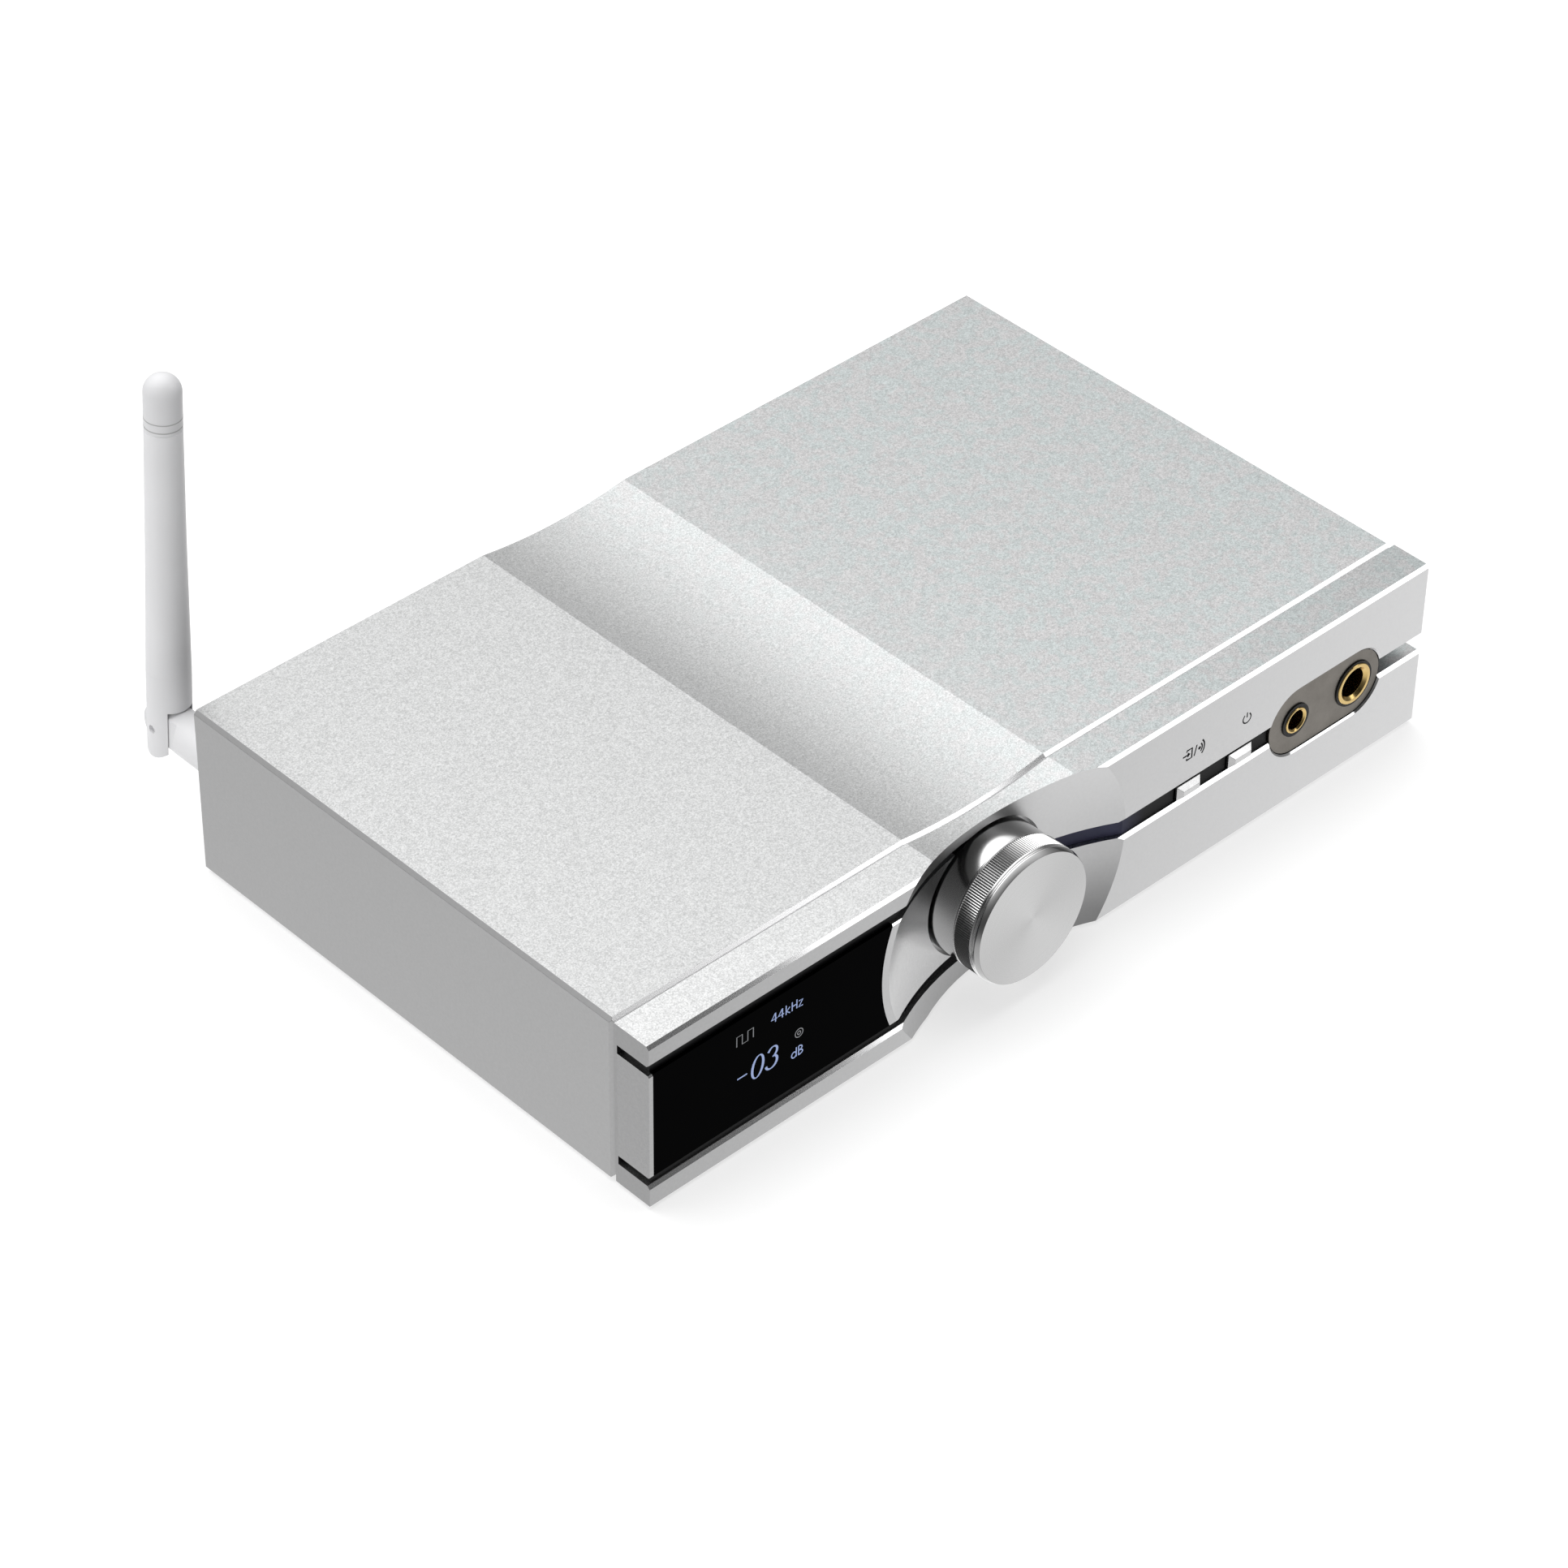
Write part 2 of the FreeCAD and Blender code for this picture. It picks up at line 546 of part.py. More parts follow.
def build_encoder():
    def on_axis(name, radius, length, y):
        return cylinder(name, radius, length, ("dish_x", f"front_y + {y}", "dish_z"))

    web_y = "bezel_d - web"
    block = box("encoder_block", ("encoder_w", "board_y - bezel_d - plug_d", "encoder_w"),
                ("dish_x - encoder_w / 2", "front_y + bezel_d + plug_d", "dish_z - encoder_w / 2"))
    bush = on_axis("encoder_bush", "bush_r", "7.3", "6.2")
    bore = on_axis("encoder_bore", "shaft_r + running_gap", "11.2", "5.8")
    chamber = on_axis("encoder_chamber", "chamber_r", "chamber_d", "chamber_y")
    keep(cut("encoder_cut", joined("encoder_shell", [block, bush]), [bore, chamber]), "encoder_body")
    nut = hexagon("nut_blank", "nut_r", "nut_t", ("dish_x", f"front_y + {web_y} - nut_t", "dish_z"))
    nut_bore = on_axis("nut_bore", "bush_r", "nut_t + 2", f"{web_y} - nut_t - 1")
    keep(cut("nut_cut", nut, [nut_bore]), "encoder_nut")
    rotor = on_axis("rotor_disc", "rotor_r", "rotor_t", "chamber_y + (chamber_d - rotor_t) / 2")
    rotor_bore = on_axis("rotor_bore", "shaft_r + running_gap", "4", "chamber_y - 1")
    keep(cut("rotor_cut", rotor, [rotor_bore]), "encoder_rotor")


# ---------------------------------------------------------------- buttons


def build_button(name, x):
    """Keycap with a 45 degree bevel all round, its stem and the retaining flange behind the web."""
    body = new_body(name + "_key")
    cap = sketch_on(body, name + "_cap", "XZ_Plane", "-(front_y - key_out)")
    rectangle(cap, (f"{x} - key_w / 2", "dish_z - key_h / 2"), ("key_w", "key_h"))
    feature = pad(body, cap, "key_out + cap_d")
    doc.recompute()
    front = sheet.get("front_y") - sheet.get("key_out")
    chamfer(body, feature, lambda b: near(b.YMin, front) and near(b.YMax, front), "key_bevel")
    stem = sketch_on(body, name + "_stem", "XZ_Plane", "-(front_y + cap_d)")
    rectangle(stem, (f"{x} - stem_w / 2", "dish_z - stem_h / 2"), ("stem_w", "stem_h"))
    pad(body, stem, "bezel_d + plug_d - cap_d + rest_gap")
    flange_y = "front_y + bezel_d + plug_d + rest_gap"
    flange = sketch_on(body, name + "_flange", "XZ_Plane", f"-({flange_y})")
    rectangle(flange, (f"{x} - flange_w / 2", "dish_z - flange_h / 2"), ("flange_w", "flange_h"))
    pad(body, flange, "flange_t")
    keep(body, name + "_button")
    keep(cylinder(name + "_plunger_pin", "plunger_r", "plunger_l", (x, f"{flange_y} + flange_t", "dish_z")),
         name + "_plunger")


def build_front_board():
    back = "front_y + board_y"
    switches = []
    for name, x in buttons:
        shell = box(name + "_switch", ("switch_w", "switch_d", "switch_w"),
                    (f"{x} - switch_w / 2", f"{back} - switch_d", "dish_z - switch_w / 2"))
        way = cylinder(name + "_switch_way", "plunger_r + running_gap", "switch_way",
                       (x, f"{back} - switch_d - 0.6", "dish_z"))
        switches.append(cut(name + "_switch_cut", shell, [way]))
    keep(grouped("switch_group", switches), "tact_switches")
    keep(box("front_pcb", ("84", "pcb_t", "24"), ("-24", back, "foot_lift + 8")), "front_board")


# ---------------------------------------------------------------- headphone sockets


def build_jack(name, x, sizes, block_size):
    """Black threaded body with a gold lining; the bore runs back through the body."""
    outer, gold, bore = sizes
    wide, tall, deep = block_size
    neck = cylinder(name + "_neck", outer, "bezel_d + plug_d - neck_set",
                    (x, "front_y + neck_set", "dish_z"))
    block = box(name + "_block", (wide, deep, tall),
                (f"{x} - {wide} / 2", "front_y + bezel_d + plug_d", f"dish_z - {tall} / 2"))
    inside = [cylinder(name + "_gold_seat", gold, "bore_len", (x, "front_y - 0.5", "dish_z")),
              cylinder(name + "_plug_way", f"{bore} + 0.35", f"bezel_d + plug_d + {deep} - 3",
                       (x, "front_y", "dish_z"))]
    keep(cut(name + "_cut", joined(name + "_shell", [neck, block]), inside), name + "_body")
    lining = cylinder(name + "_gold", gold, "bore_len - 0.5", (x, "front_y", "dish_z"))
    way = cylinder(name + "_gold_bore", bore, "bore_len + 2", (x, "front_y - 1", "dish_z"))
    keep(cut(name + "_gold_cut", lining, [way]), name + "_lining")


def build_jacks():
    slab = joined("plate_blank", stadium("plate", "plate_w", "plate_h", "plate_t", "front_y + plate_set"))
    holes = [cylinder("plate_small_hole", "small_ring", "4", ("small_x", "front_y - 1", "dish_z")),
             cylinder("plate_large_hole", "large_ring", "4", ("large_x", "front_y - 1", "dish_z"))]
    keep(cut("plate_cut", slab, holes), "jack_plate")
    build_jack("small_jack", "small_x", ("small_ring", "small_gold", "small_bore"), ("11", "12", "20"))
    build_jack("large_jack", "large_x", ("large_ring", "large_gold", "large_bore"), ("16", "16", "25"))


# ---------------------------------------------------------------- boards and inner parts


def pair_grid(xs, ys):
    return [(x, y) for x in xs for y in ys]


post_places = pair_grid(("-88", "0", "88"), ("front_y + 36", "front_y + 100"))
can_places = pair_grid(("-24", "-12", "12", "24"), ("front_y + 76", "front_y + 90"))
# Converter and amplifier chips: corner and side.
chip_places = (("-60", "front_y + 50", "14"), ("-30", "front_y + 56", "10"), ("10", "front_y + 48", "12"),
               ("34", "front_y + 60", "9"), ("52", "front_y + 60", "9"))


def build_boards():
    top = "foot_lift + pcb_low + pcb_t"
    blank = box("main_pcb", ("192", "88", "pcb_t"), ("-96", "front_y + 24", "foot_lift + pcb_low"))
    holes = [cylinder(f"main_hole_{i}", "screw_r + 0.25", "5", (x, y, "foot_lift + pcb_low - 1"), "z")
             for i, (x, y) in enumerate(post_places)]
    keep(cut("main_board_cut", blank, holes), "main_board")
    posts = []
    screws = []
    for i, (x, y) in enumerate(post_places):
        post = cylinder(f"post_{i}", "post_r", "pcb_low - wall", (x, y, "foot_lift + wall"), "z")
        hole = cylinder(f"post_hole_{i}", "screw_r", "6", (x, y, "foot_lift + wall + 1"), "z")
        posts.append(cut(f"post_cut_{i}", post, [hole]))
        shank = cylinder(f"board_shank_{i}", "screw_r", "pcb_t + 4", (x, y, f"{top} - pcb_t - 4"), "z")
        head = cylinder(f"board_head_{i}", "board_head_r", "board_head_t", (x, y, top), "z")
        screws.append(joined(f"board_screw_{i}", [shank, head]))
    keep(grouped("post_group", posts), "board_standoffs")
    keep(grouped("board_screw_group", screws), "board_screws")
    chips = [box(f"chip_{i}", (side, side, "1.4"), (x, y, top))
             for i, (x, y, side) in enumerate(chip_places)]
    keep(grouped("chip_group", chips), "signal_chips")
    skin = "0.5"
    shield = box("shield_blank", ("shield_w", "shield_d", "shield_h"), ("-76", "front_y + 74", top))
    hollow = box("shield_hollow", (f"shield_w - 2 * {skin}", f"shield_d - 2 * {skin}", f"shield_h - {skin}"),
                 (f"-76 + {skin}", f"front_y + 74 + {skin}", top))
    keep(cut("shield_cut", shield, [hollow]), "shield_can")
    cans = [cylinder(f"can_{i}", "can_r", "can_h", (x, y, top), "z") for i, (x, y) in enumerate(can_places)]
    keep(grouped("can_group", cans), "power_capacitors")
    keep(box("wireless", ("18", "24", "2.6"), ("-94", "front_y + 44", top)), "wireless_module")
    coils = [box(f"coil_{i}", ("8", "8", "5"), (x, "front_y + 92", top)) for i, x in enumerate(("62", "76"))]
    keep(grouped("coil_group", coils), "power_inductors")


# ---------------------------------------------------------------- rear panel and sockets

axis_z = "dish_z"
panel_back = "front_y + case_d - panel_set"
phono_x = {"phono_left": "6", "phono_right": "-12", "coax_socket": "30"}
xlr_x = {"balanced_left": "-34", "balanced_right": "-66"}


def build_rear_panel():
    gap = "rear_gap"
    blank = box("panel_blank",
                (f"case_w - 2 * wall - 2 * {gap}", "panel_t", f"case_h - 2 * wall - 2 * {gap}"),
                (f"-case_w / 2 + wall + {gap}", f"{panel_back} - panel_t", f"foot_lift + wall + {gap}"))
    before = f"{panel_back} - panel_t - 1"
    through = "panel_t + 2"
    round_holes = [(x, z, "screw_r + 0.25") for x, z in boss_places()]
    round_holes += [(x, axis_z, f"phono_r + {gap}") for x in phono_x.values()]
    round_holes += [(x, axis_z, f"xlr_r + {gap}") for x in xlr_x.values()]
    round_holes += [("power_inlet_x", axis_z, f"power_inlet_r + {gap}"),
                    ("aerial_x", "aerial_z", f"thread_r + {gap}")]
    tools = [cylinder(f"panel_hole_{i}", radius, through, (x, before, z))
             for i, (x, z, radius) in enumerate(round_holes)]
    tools += [box("panel_optical", ("optical_w", through, "optical_w"),
                  ("optical_x", before, f"{axis_z} - optical_w / 2")),
              box("panel_usb", ("usb_w", through, "usb_h"), ("usb_x", before, f"{axis_z} - usb_h / 2"))]
    keep(cut("panel_cut", blank, tools), "rear_panel")
    screws = []
    for i, (x, z) in enumerate(boss_places()):
        shank = cylinder(f"rear_shank_{i}", "screw_r", "12", (x, f"{panel_back} - 12", z))
        head = cylinder(f"rear_head_{i}", "2.5", "1.4", (x, panel_back, z))
        drive = hexagon(f"rear_drive_{i}", "1.3", "1.2", (x, f"{panel_back} + 0.5", z))
        screws.append(cut(f"rear_screw_{i}", joined(f"rear_screw_body_{i}", [shank, head]), [drive]))
    keep(grouped("rear_screw_group", screws), "rear_screws")


def build_phono(name, x):
    """Board-mounted socket: hexagonal collar outside, threaded barrel, block on the board."""
    barrel = cylinder(name + "_barrel", "phono_r", "panel_t + phono_out + 1",
                      (x, f"{panel_back} - panel_t - 1", axis_z))
    collar = hexagon(name + "_collar", "6.2", "1.6", (x, panel_back, axis_z))
    block = box(name + "_block", ("11", "14", "16"),
                (f"{x} - 5.5", f"{panel_back} - panel_t - 14", f"{axis_z} - 8"))
    bore = cylinder(name + "_bore", "phono_bore", "9", (x, f"{panel_back} - 0.4", axis_z))
    keep(cut(name + "_cut", joined(name + "_shell", [barrel, collar, block]), [bore]), name)


def build_balanced(name, x):
    """Three-pole output: square flange on the panel and a round shell."""
    flange = box(name + "_flange", ("xlr_flange_w", "1.6", "xlr_flange_h"),
                 (f"{x} - xlr_flange_w / 2", panel_back, f"{axis_z} - xlr_flange_h / 2"))
    shell = cylinder(name + "_shell", "xlr_r", "xlr_d", (x, f"{panel_back} - xlr_d", axis_z))
    mouth = cylinder(name + "_mouth", "xlr_bore", "18", (x, f"{panel_back} - 14", axis_z))
    keep(cut(name + "_cut", joined(name + "_body", [flange, shell]), [mouth]), name)


def build_rear_sockets():
    for name, x in phono_x.items():
        build_phono(name, x)
    for name, x in xlr_x.items():
        build_balanced(name, x)
    optical = box("optical_block", ("optical_w", "14", "optical_w"),
                  ("optical_x", f"{panel_back} - 14", f"{axis_z} - optical_w / 2"))
    optical_mouth = box("optical_mouth", ("optical_mouth", "9", "optical_mouth"),
                        ("optical_x + (optical_w - optical_mouth) / 2", f"{panel_back} - 8",
                         f"{axis_z} - optical_mouth / 2"))
    keep(cut("optical_cut", optical, [optical_mouth]), "optical_socket")
    usb = box("usb_shell", ("usb_w", "16.3", "usb_h"),
              ("usb_x", f"{panel_back} - 16", f"{axis_z} - usb_h / 2"))
    usb_mouth = box("usb_mouth", ("usb_mouth_w", "12", "usb_mouth_h"),
                    ("usb_x + (usb_w - usb_mouth_w) / 2", f"{panel_back} - 9.5",
                     f"{axis_z} - usb_mouth_h / 2"))
    keep(cut("usb_cut", usb, [usb_mouth]), "usb_socket")
    barrel = cylinder("power_barrel", "power_inlet_r", "8", ("power_inlet_x", f"{panel_back} - 7.8", axis_z))
    block = box("power_block", ("11", "10", "13"),
                ("power_inlet_x - 5.5", f"{panel_back} - panel_t - 10", f"{axis_z} - 6.5"))
    mouth = cylinder("power_mouth", "power_bore", "11", ("power_inlet_x", f"{panel_back} - 9.3", axis_z))
    keep(cut("power_cut", joined("power_shell", [barrel, block]), [mouth]), "power_inlet")


# ---------------------------------------------------------------- aerial


def hinged(body):
    """Stand a piece, made about the hinge with Z up, on the leaning aerial."""
    body.Placement = Placement(Vector(), Rotation(Vector(0, 1, 0), sheet.get("aerial_lean")))
    place(body, ("aerial_x", "aerial_y", "aerial_z"))
    return body


def common(name, parts):
    made = doc.addObject("Part::MultiCommon", name)
    made.Shapes = parts
    return made


def build_aerial():
    inner_end = f"{panel_back} - panel_t - 3"
    barrel = cylinder("aerial_thread", "thread_r", "panel_t + 11", ("aerial_x", inner_end, "aerial_z"))
    nut = hexagon("aerial_back_nut", "4.6", "2", ("aerial_x", f"{inner_end} + 1", "aerial_z"))
    keep(joined("aerial_socket_shell", [barrel, nut]), "aerial_socket")

    # Swivelling base: a round bar over the socket, rounded at the hinge. Its cheeks are cut back
    # round the hinge, which leaves a tongue, so that the fork's heel can swing past.
    start = f"({panel_back} + 0.6 - aerial_y)"
    bar = cylinder("base_bar", "aerial_r", f"aerial_r - {start}", ("0", start, "0"))
    end_round = cylinder("base_end_round", "aerial_r", "12", ("-6", "0", "0"), "x")
    end_block = box("base_end_block", ("12", f"-{start}", "12"), ("-6", start, "-6"))
    swing = "heel + swing_gap"
    cheeks = [cylinder("left_cheek", swing, "4", ("-tongue_w / 2 - 4", "0", "0"), "x"),
              cylinder("right_cheek", swing, "4", ("tongue_w / 2", "0", "0"), "x")]
    bored = [cylinder("base_bore", "thread_bore", "8.4", ("0", start, "0")),
             cylinder("pin_way", "hinge_pin_r + running_gap", "12", ("-6", "0", "0"), "x")]
    blank = common("base_blank", [bar, joined("base_envelope", [end_round, end_block])])
    keep(hinged(cut("base_cut", blank, cheeks + bored)), "aerial_base")

    # Fork: round in plan, with a slot for the tongue, its heel rounded about a line under the hinge.
    column = cylinder("fork_column", "aerial_r", "heel + seam_up", ("0", "0", "-heel"), "z")
    heel_round = cylinder("fork_heel", "aerial_r", "12", ("-6", "0", "aerial_r - heel"), "x")
    heel_block = box("fork_upper", ("12", "2 * aerial_r", "heel + seam_up"),
                     ("-6", "-aerial_r", "aerial_r - heel"))
    solid = common("fork_solid", [column, joined("fork_envelope", [heel_round, heel_block])])
    slot = "tongue_w + 2 * tongue_gap"
    slot_x = "-tongue_w / 2 - tongue_gap"
    openings = [
        cylinder("fork_slot_round", "aerial_r + round_gap", slot, (slot_x, "0", "0"), "x"),
        box("fork_slot", (slot, "2 * aerial_r + 4", "heel + 2"), (slot_x, "-aerial_r - 2", "-heel - 2")),
        box("fork_slot_front", (slot, "aerial_r + 4", "aerial_r + round_gap"),
            (slot_x, "-aerial_r - 4", "-0.01")),
        cylinder("fork_pin_hole", "hinge_pin_r", "12", ("-6", "0", "0"), "x"),
    ]
    keep(hinged(cut("fork_cut", solid, openings)), "aerial_fork")
    pin = cylinder("pin", "hinge_pin_r", "7.6", ("-3.8", "0", "0"), "x")
    keep(hinged(grouped("hinge_pin", [pin])), "aerial_pin")


def build_aerial_rod():
    """Hollow tapered tube above the fork, its domed cap, and the brass radiator inside."""
    tube = new_body("rod_tube")
    profile = sketch_on(tube, "rod_profile", "XZ_Plane")
    polygon(profile, [("tip_r - rod_wall", "seam_up"), ("aerial_r", "seam_up"),
                      ("tip_r + 0.25", "seam_up + taper_up"), ("tip_r", "groove_up - 1"),
                      ("tip_r - groove_d", "groove_up - 0.8"), ("tip_r - groove_d", "groove_up"),
                      ("tip_r - rod_wall", "groove_up")])
    revolve_upright(tube, profile)
    keep(hinged(tube), "aerial_tube")

    cap = new_body("rod_cap")
    dome = sketch_on(cap, "cap_profile", "XZ_Plane")
    polygon(dome, [("0", "groove_up"), ("tip_r", "groove_up"), ("tip_r", "tip_up + tip_r"),
                   ("0", "tip_up + tip_r")])
    feature = revolve_upright(cap, dome)
    doc.recompute()
    made = cap.newObject("PartDesign::Fillet", "cap_dome")
    top = sheet.get("tip_up") + sheet.get("tip_r")
    made.Base = (feature, edges_where(feature, lambda b: near(b.ZMin, top) and near(b.ZMax, top)))
    made.setExpression("Radius", dims("tip_r - 0.02"))
    cap.Tip = made
    keep(hinged(cap), "aerial_cap")
    radiator = cylinder("radiator", "radiator_r", "groove_up - seam_up - 4", ("0", "0", "seam_up"), "z")
    keep(hinged(grouped("radiator_rod", [radiator])), "aerial_element")


def revolve_upright(body, profile):
    made = body.newObject("PartDesign::Revolution", profile.Name + "_turn")
    made.Profile = profile
    made.ReferenceAxis = (profile, ["V_Axis"])
    made.Angle = 360
    body.Tip = made
    return made


# ---------------------------------------------------------------- build, check, export

build_sleeve()
build_bezel()
build_bezel_screws()
build_feet()
build_display()
build_liners()
build_knob()
build_encoder()
for name, x in buttons:
    build_button(name, x)
build_front_board()
build_jacks()
build_boards()
build_rear_panel()
build_rear_sockets()
build_aerial()
build_aerial_rod()
doc.recompute()

failed = [item.Name for item in doc.Objects if {"Invalid", "Error"} & set(item.State)]
if failed:
    raise RuntimeError(f"features failed: {failed}")
for node, thing in pieces.items():
    shape = thing.Shape
    if shape.isNull() or not shape.isValid() or not shape.Solids:
        raise RuntimeError(f"{node} has no valid solid")
    shape.exportStep(f"parts/{node}.step")
    bounds = shape.BoundBox
    print(f"{node:18} solids {len(shape.Solids)} volume {shape.Volume:10.1f}",
          f"x {bounds.XMin:.2f} {bounds.XMax:.2f} y {bounds.YMin:.2f} {bounds.YMax:.2f}",
          f"z {bounds.ZMin:.2f} {bounds.ZMax:.2f}")
print(len(pieces), "nodes")
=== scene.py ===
import json
import math

import bpy
from mathutils import Matrix, Vector


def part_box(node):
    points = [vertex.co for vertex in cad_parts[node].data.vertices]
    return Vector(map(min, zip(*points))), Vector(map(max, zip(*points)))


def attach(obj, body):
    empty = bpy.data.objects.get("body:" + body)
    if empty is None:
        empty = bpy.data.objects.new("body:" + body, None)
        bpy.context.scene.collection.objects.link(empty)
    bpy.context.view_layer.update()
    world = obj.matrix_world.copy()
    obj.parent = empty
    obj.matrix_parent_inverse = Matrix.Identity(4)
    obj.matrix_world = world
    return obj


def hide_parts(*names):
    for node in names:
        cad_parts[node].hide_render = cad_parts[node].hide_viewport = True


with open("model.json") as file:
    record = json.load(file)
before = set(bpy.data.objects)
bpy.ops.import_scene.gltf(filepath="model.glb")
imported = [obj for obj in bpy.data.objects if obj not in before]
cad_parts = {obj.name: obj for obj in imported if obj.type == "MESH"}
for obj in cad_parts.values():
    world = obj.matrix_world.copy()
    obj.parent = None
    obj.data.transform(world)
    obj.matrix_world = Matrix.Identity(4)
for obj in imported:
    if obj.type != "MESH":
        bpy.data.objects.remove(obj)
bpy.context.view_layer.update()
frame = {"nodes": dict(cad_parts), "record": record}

MM = 0.001
nodes = frame["nodes"]


# ---------------------------------------------------------------- places read from the frame


def low(node):
    """Lowest corner of a node's box, in metres."""
    return Vector(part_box(node)[0])


def high(node):
    return Vector(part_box(node)[1])


def centre(node):
    return (low(node) + high(node)) / 2


KEY_OUT = 0.65 * MM  # how far a key stands out of the front
FRONT_Y = low("input_button").y + KEY_OUT
AXIS = Vector((centre("knob_face").x, FRONT_Y, centre("knob_face").z))
CASE_LEFT = low("case_sleeve").x
CASE_UNDER = low("case_sleeve").z
GLASS_Y = low("display_glass").y
PANEL_Y = high("rear_panel").y


# ---------------------------------------------------------------- materials


def shade(colour, factor):
    return tuple(min(1.0, part * factor) for part in colour)


class Mat:
    """A node material with short helpers for its graph."""

    def __init__(self, name, colour, metallic, roughness):
        self.mat = bpy.data.materials.new(name)
        self.mat.use_nodes = True
        self.tree = self.mat.node_tree
        self.shader = self.tree.nodes["Principled BSDF"]
        self.shader.inputs["Metallic"].default_value = metallic
        self.shader.inputs["Roughness"].default_value = roughness
        self.shader.inputs["Base Color"].default_value = (*colour, 1)
        self.coords = self.node("ShaderNodeTexCoord").outputs["Object"]

    def node(self, kind, **inputs):
        made = self.tree.nodes.new(kind)
        for key, value in inputs.items():
            self.feed(made.inputs[key.replace("_", " ")], value)
        return made

    def feed(self, socket, value):
        if isinstance(value, bpy.types.NodeSocket):
            self.tree.links.new(value, socket)
        elif isinstance(value, tuple) and socket.type == "RGBA":
            socket.default_value = (*value, 1)
        else:
            socket.default_value = value

    def link(self, source, target):
        self.tree.links.new(source, self.shader.inputs[target])

    def noise(self, scale, detail=2.0, vector=None):
        made = self.node("ShaderNodeTexNoise", Vector=vector or self.coords, Scale=scale, Detail=detail)
        return made.outputs["Fac"]

    def spread(self, value, start, end, out_start=0.0, out_end=1.0):
        made = self.node("ShaderNodeMapRange", Value=value, From_Min=start, From_Max=end)
        self.feed(made.inputs["To Min"], out_start)
        self.feed(made.inputs["To Max"], out_end)
        return made.outputs["Result"]

    def mix(self, factor, first, second):
        return self.blend("MIX", factor, first, second)

    def blend(self, kind, factor, first, second):
        made = self.tree.nodes.new("ShaderNodeMix")
        made.data_type = "RGBA"
        made.blend_type = kind
        sockets = {socket.name: socket for socket in made.inputs if socket.type == "RGBA"}
        self.feed(made.inputs["Factor"], factor)
        self.feed(sockets["A"], first)
        self.feed(sockets["B"], second)
        return next(socket for socket in made.outputs if socket.type == "RGBA")

    def math(self, operation, first, second=0.0):
        made = self.tree.nodes.new("ShaderNodeMath")
        made.operation = operation
        self.feed(made.inputs[0], first)
        self.feed(made.inputs[1], second)
        return made.outputs[0]

    def facing(self, direction, start, end):
        """1 where the surface faces a direction, 0 where it turns away."""
        made = self.tree.nodes.new("ShaderNodeVectorMath")
        made.operation = "DOT_PRODUCT"
        self.feed(made.inputs[0], self.node("ShaderNodeNewGeometry").outputs["Normal"])
        self.feed(made.inputs[1], tuple(Vector(direction).normalized()))
        return self.spread(made.outputs["Value"], start, end)

    def axes(self):
        return self.node("ShaderNodeSeparateXYZ", Vector=self.coords).outputs

    def bump(self, height, strength, distance, edge=0.0):
        """Fine relief, over edges rounded by a small radius."""
        made = self.node("ShaderNodeBump", Height=height, Strength=strength, Distance=distance)
        if edge:
            rounded = self.node("ShaderNodeBevel", Radius=edge)
            rounded.samples = 4
            self.feed(made.inputs["Normal"], rounded.outputs[0])
        self.link(made.outputs["Normal"], "Normal")


EDGE = 0.12 * MM  # radius that bevelled shading gives to sharp edges
UP = (0, 0, 1)
CHAMFER = (0, -1, 1)
CHAMFER_COLOUR = (0.78, 0.78, 0.785)
TEAL_AND_ROSE = ((0.93, 1.0, 1.0), (1.0, 0.98, 0.985))


def blasted(name, tops, sides, roughness, grain, chamfer_roughness, edge=0.0):
    """Bead-blasted, clear anodised aluminium: sparkling on top, satin at the sides, polished chamfers.

    The tones of tops and sides are painted light and shade: they run from their first to their second colour
    across the case, and faces not turned up take the side tone instead of the top tone."""
    m = Mat(name, sides[0], 1.0, roughness)
    fine_speck, coarse_speck = m.noise(3600, 2), m.noise(1500, 2)
    speck = m.math("ADD", m.math("MULTIPLY", fine_speck, 0.7), m.math("MULTIPLY", coarse_speck, 0.3))
    glint = m.spread(speck, 0.36, 0.64)
    x = m.axes()[0]
    # Painted light: the tone runs from left to right across the case.
    across = m.spread(x, CASE_LEFT, -CASE_LEFT)
    top = m.mix(across, *tops)
    drift = m.math("ADD", x, m.math("MULTIPLY", m.noise(9, 1), 0.05))
    hue = m.mix(m.spread(m.noise(350, 2), 0.42, 0.58), *TEAL_AND_ROSE)
    tinted = m.blend("MULTIPLY", m.spread(drift, 0.0, 0.06, 0.0, 0.8), top, hue)
    sparkle = m.blend("MULTIPLY", 1.0, tinted, m.mix(glint, (1 - grain,) * 3, (1 + grain,) * 3))
    side = m.mix(across, *sides)
    fine = m.mix(m.spread(m.noise(1600, 3), 0.3, 0.7), side, m.mix(0.04, side, (1.0, 1.0, 1.0)))
    upward = m.facing(UP, 0.75, 0.95)
    polished = m.facing(CHAMFER, 0.95, 0.99)
    # Faces turned up take the sparkling top tone and the rest take the side tone, which is finish and painted
    # shade together; chamfers take the polished colour.
    m.link(m.mix(polished, m.mix(upward, fine, sparkle), CHAMFER_COLOUR), "Base Color")
    rough = m.spread(m.noise(1500, 2), 0.3, 0.7, roughness - 0.015, roughness + 0.02)
    m.link(m.spread(polished, 0.0, 1.0, rough, chamfer_roughness), "Roughness")
    m.bump(speck, m.spread(upward, 0.0, 1.0, 0.01, 0.4), 0.00004, edge)
    return m.mat


def satin(name, colour, roughness):
    """Plain metal with a fine grain."""
    m = Mat(name, colour, 1.0, roughness)
    grain = m.noise(1400, 3)
    m.link(m.mix(m.spread(grain, 0.3, 0.7), shade(colour, 0.97), shade(colour, 1.03)), "Base Color")
    m.link(m.spread(m.noise(300, 3), 0.3, 0.7, roughness - 0.04, roughness + 0.04), "Roughness")
    m.bump(grain, 0.08, 0.00002, EDGE)
    return m.mat


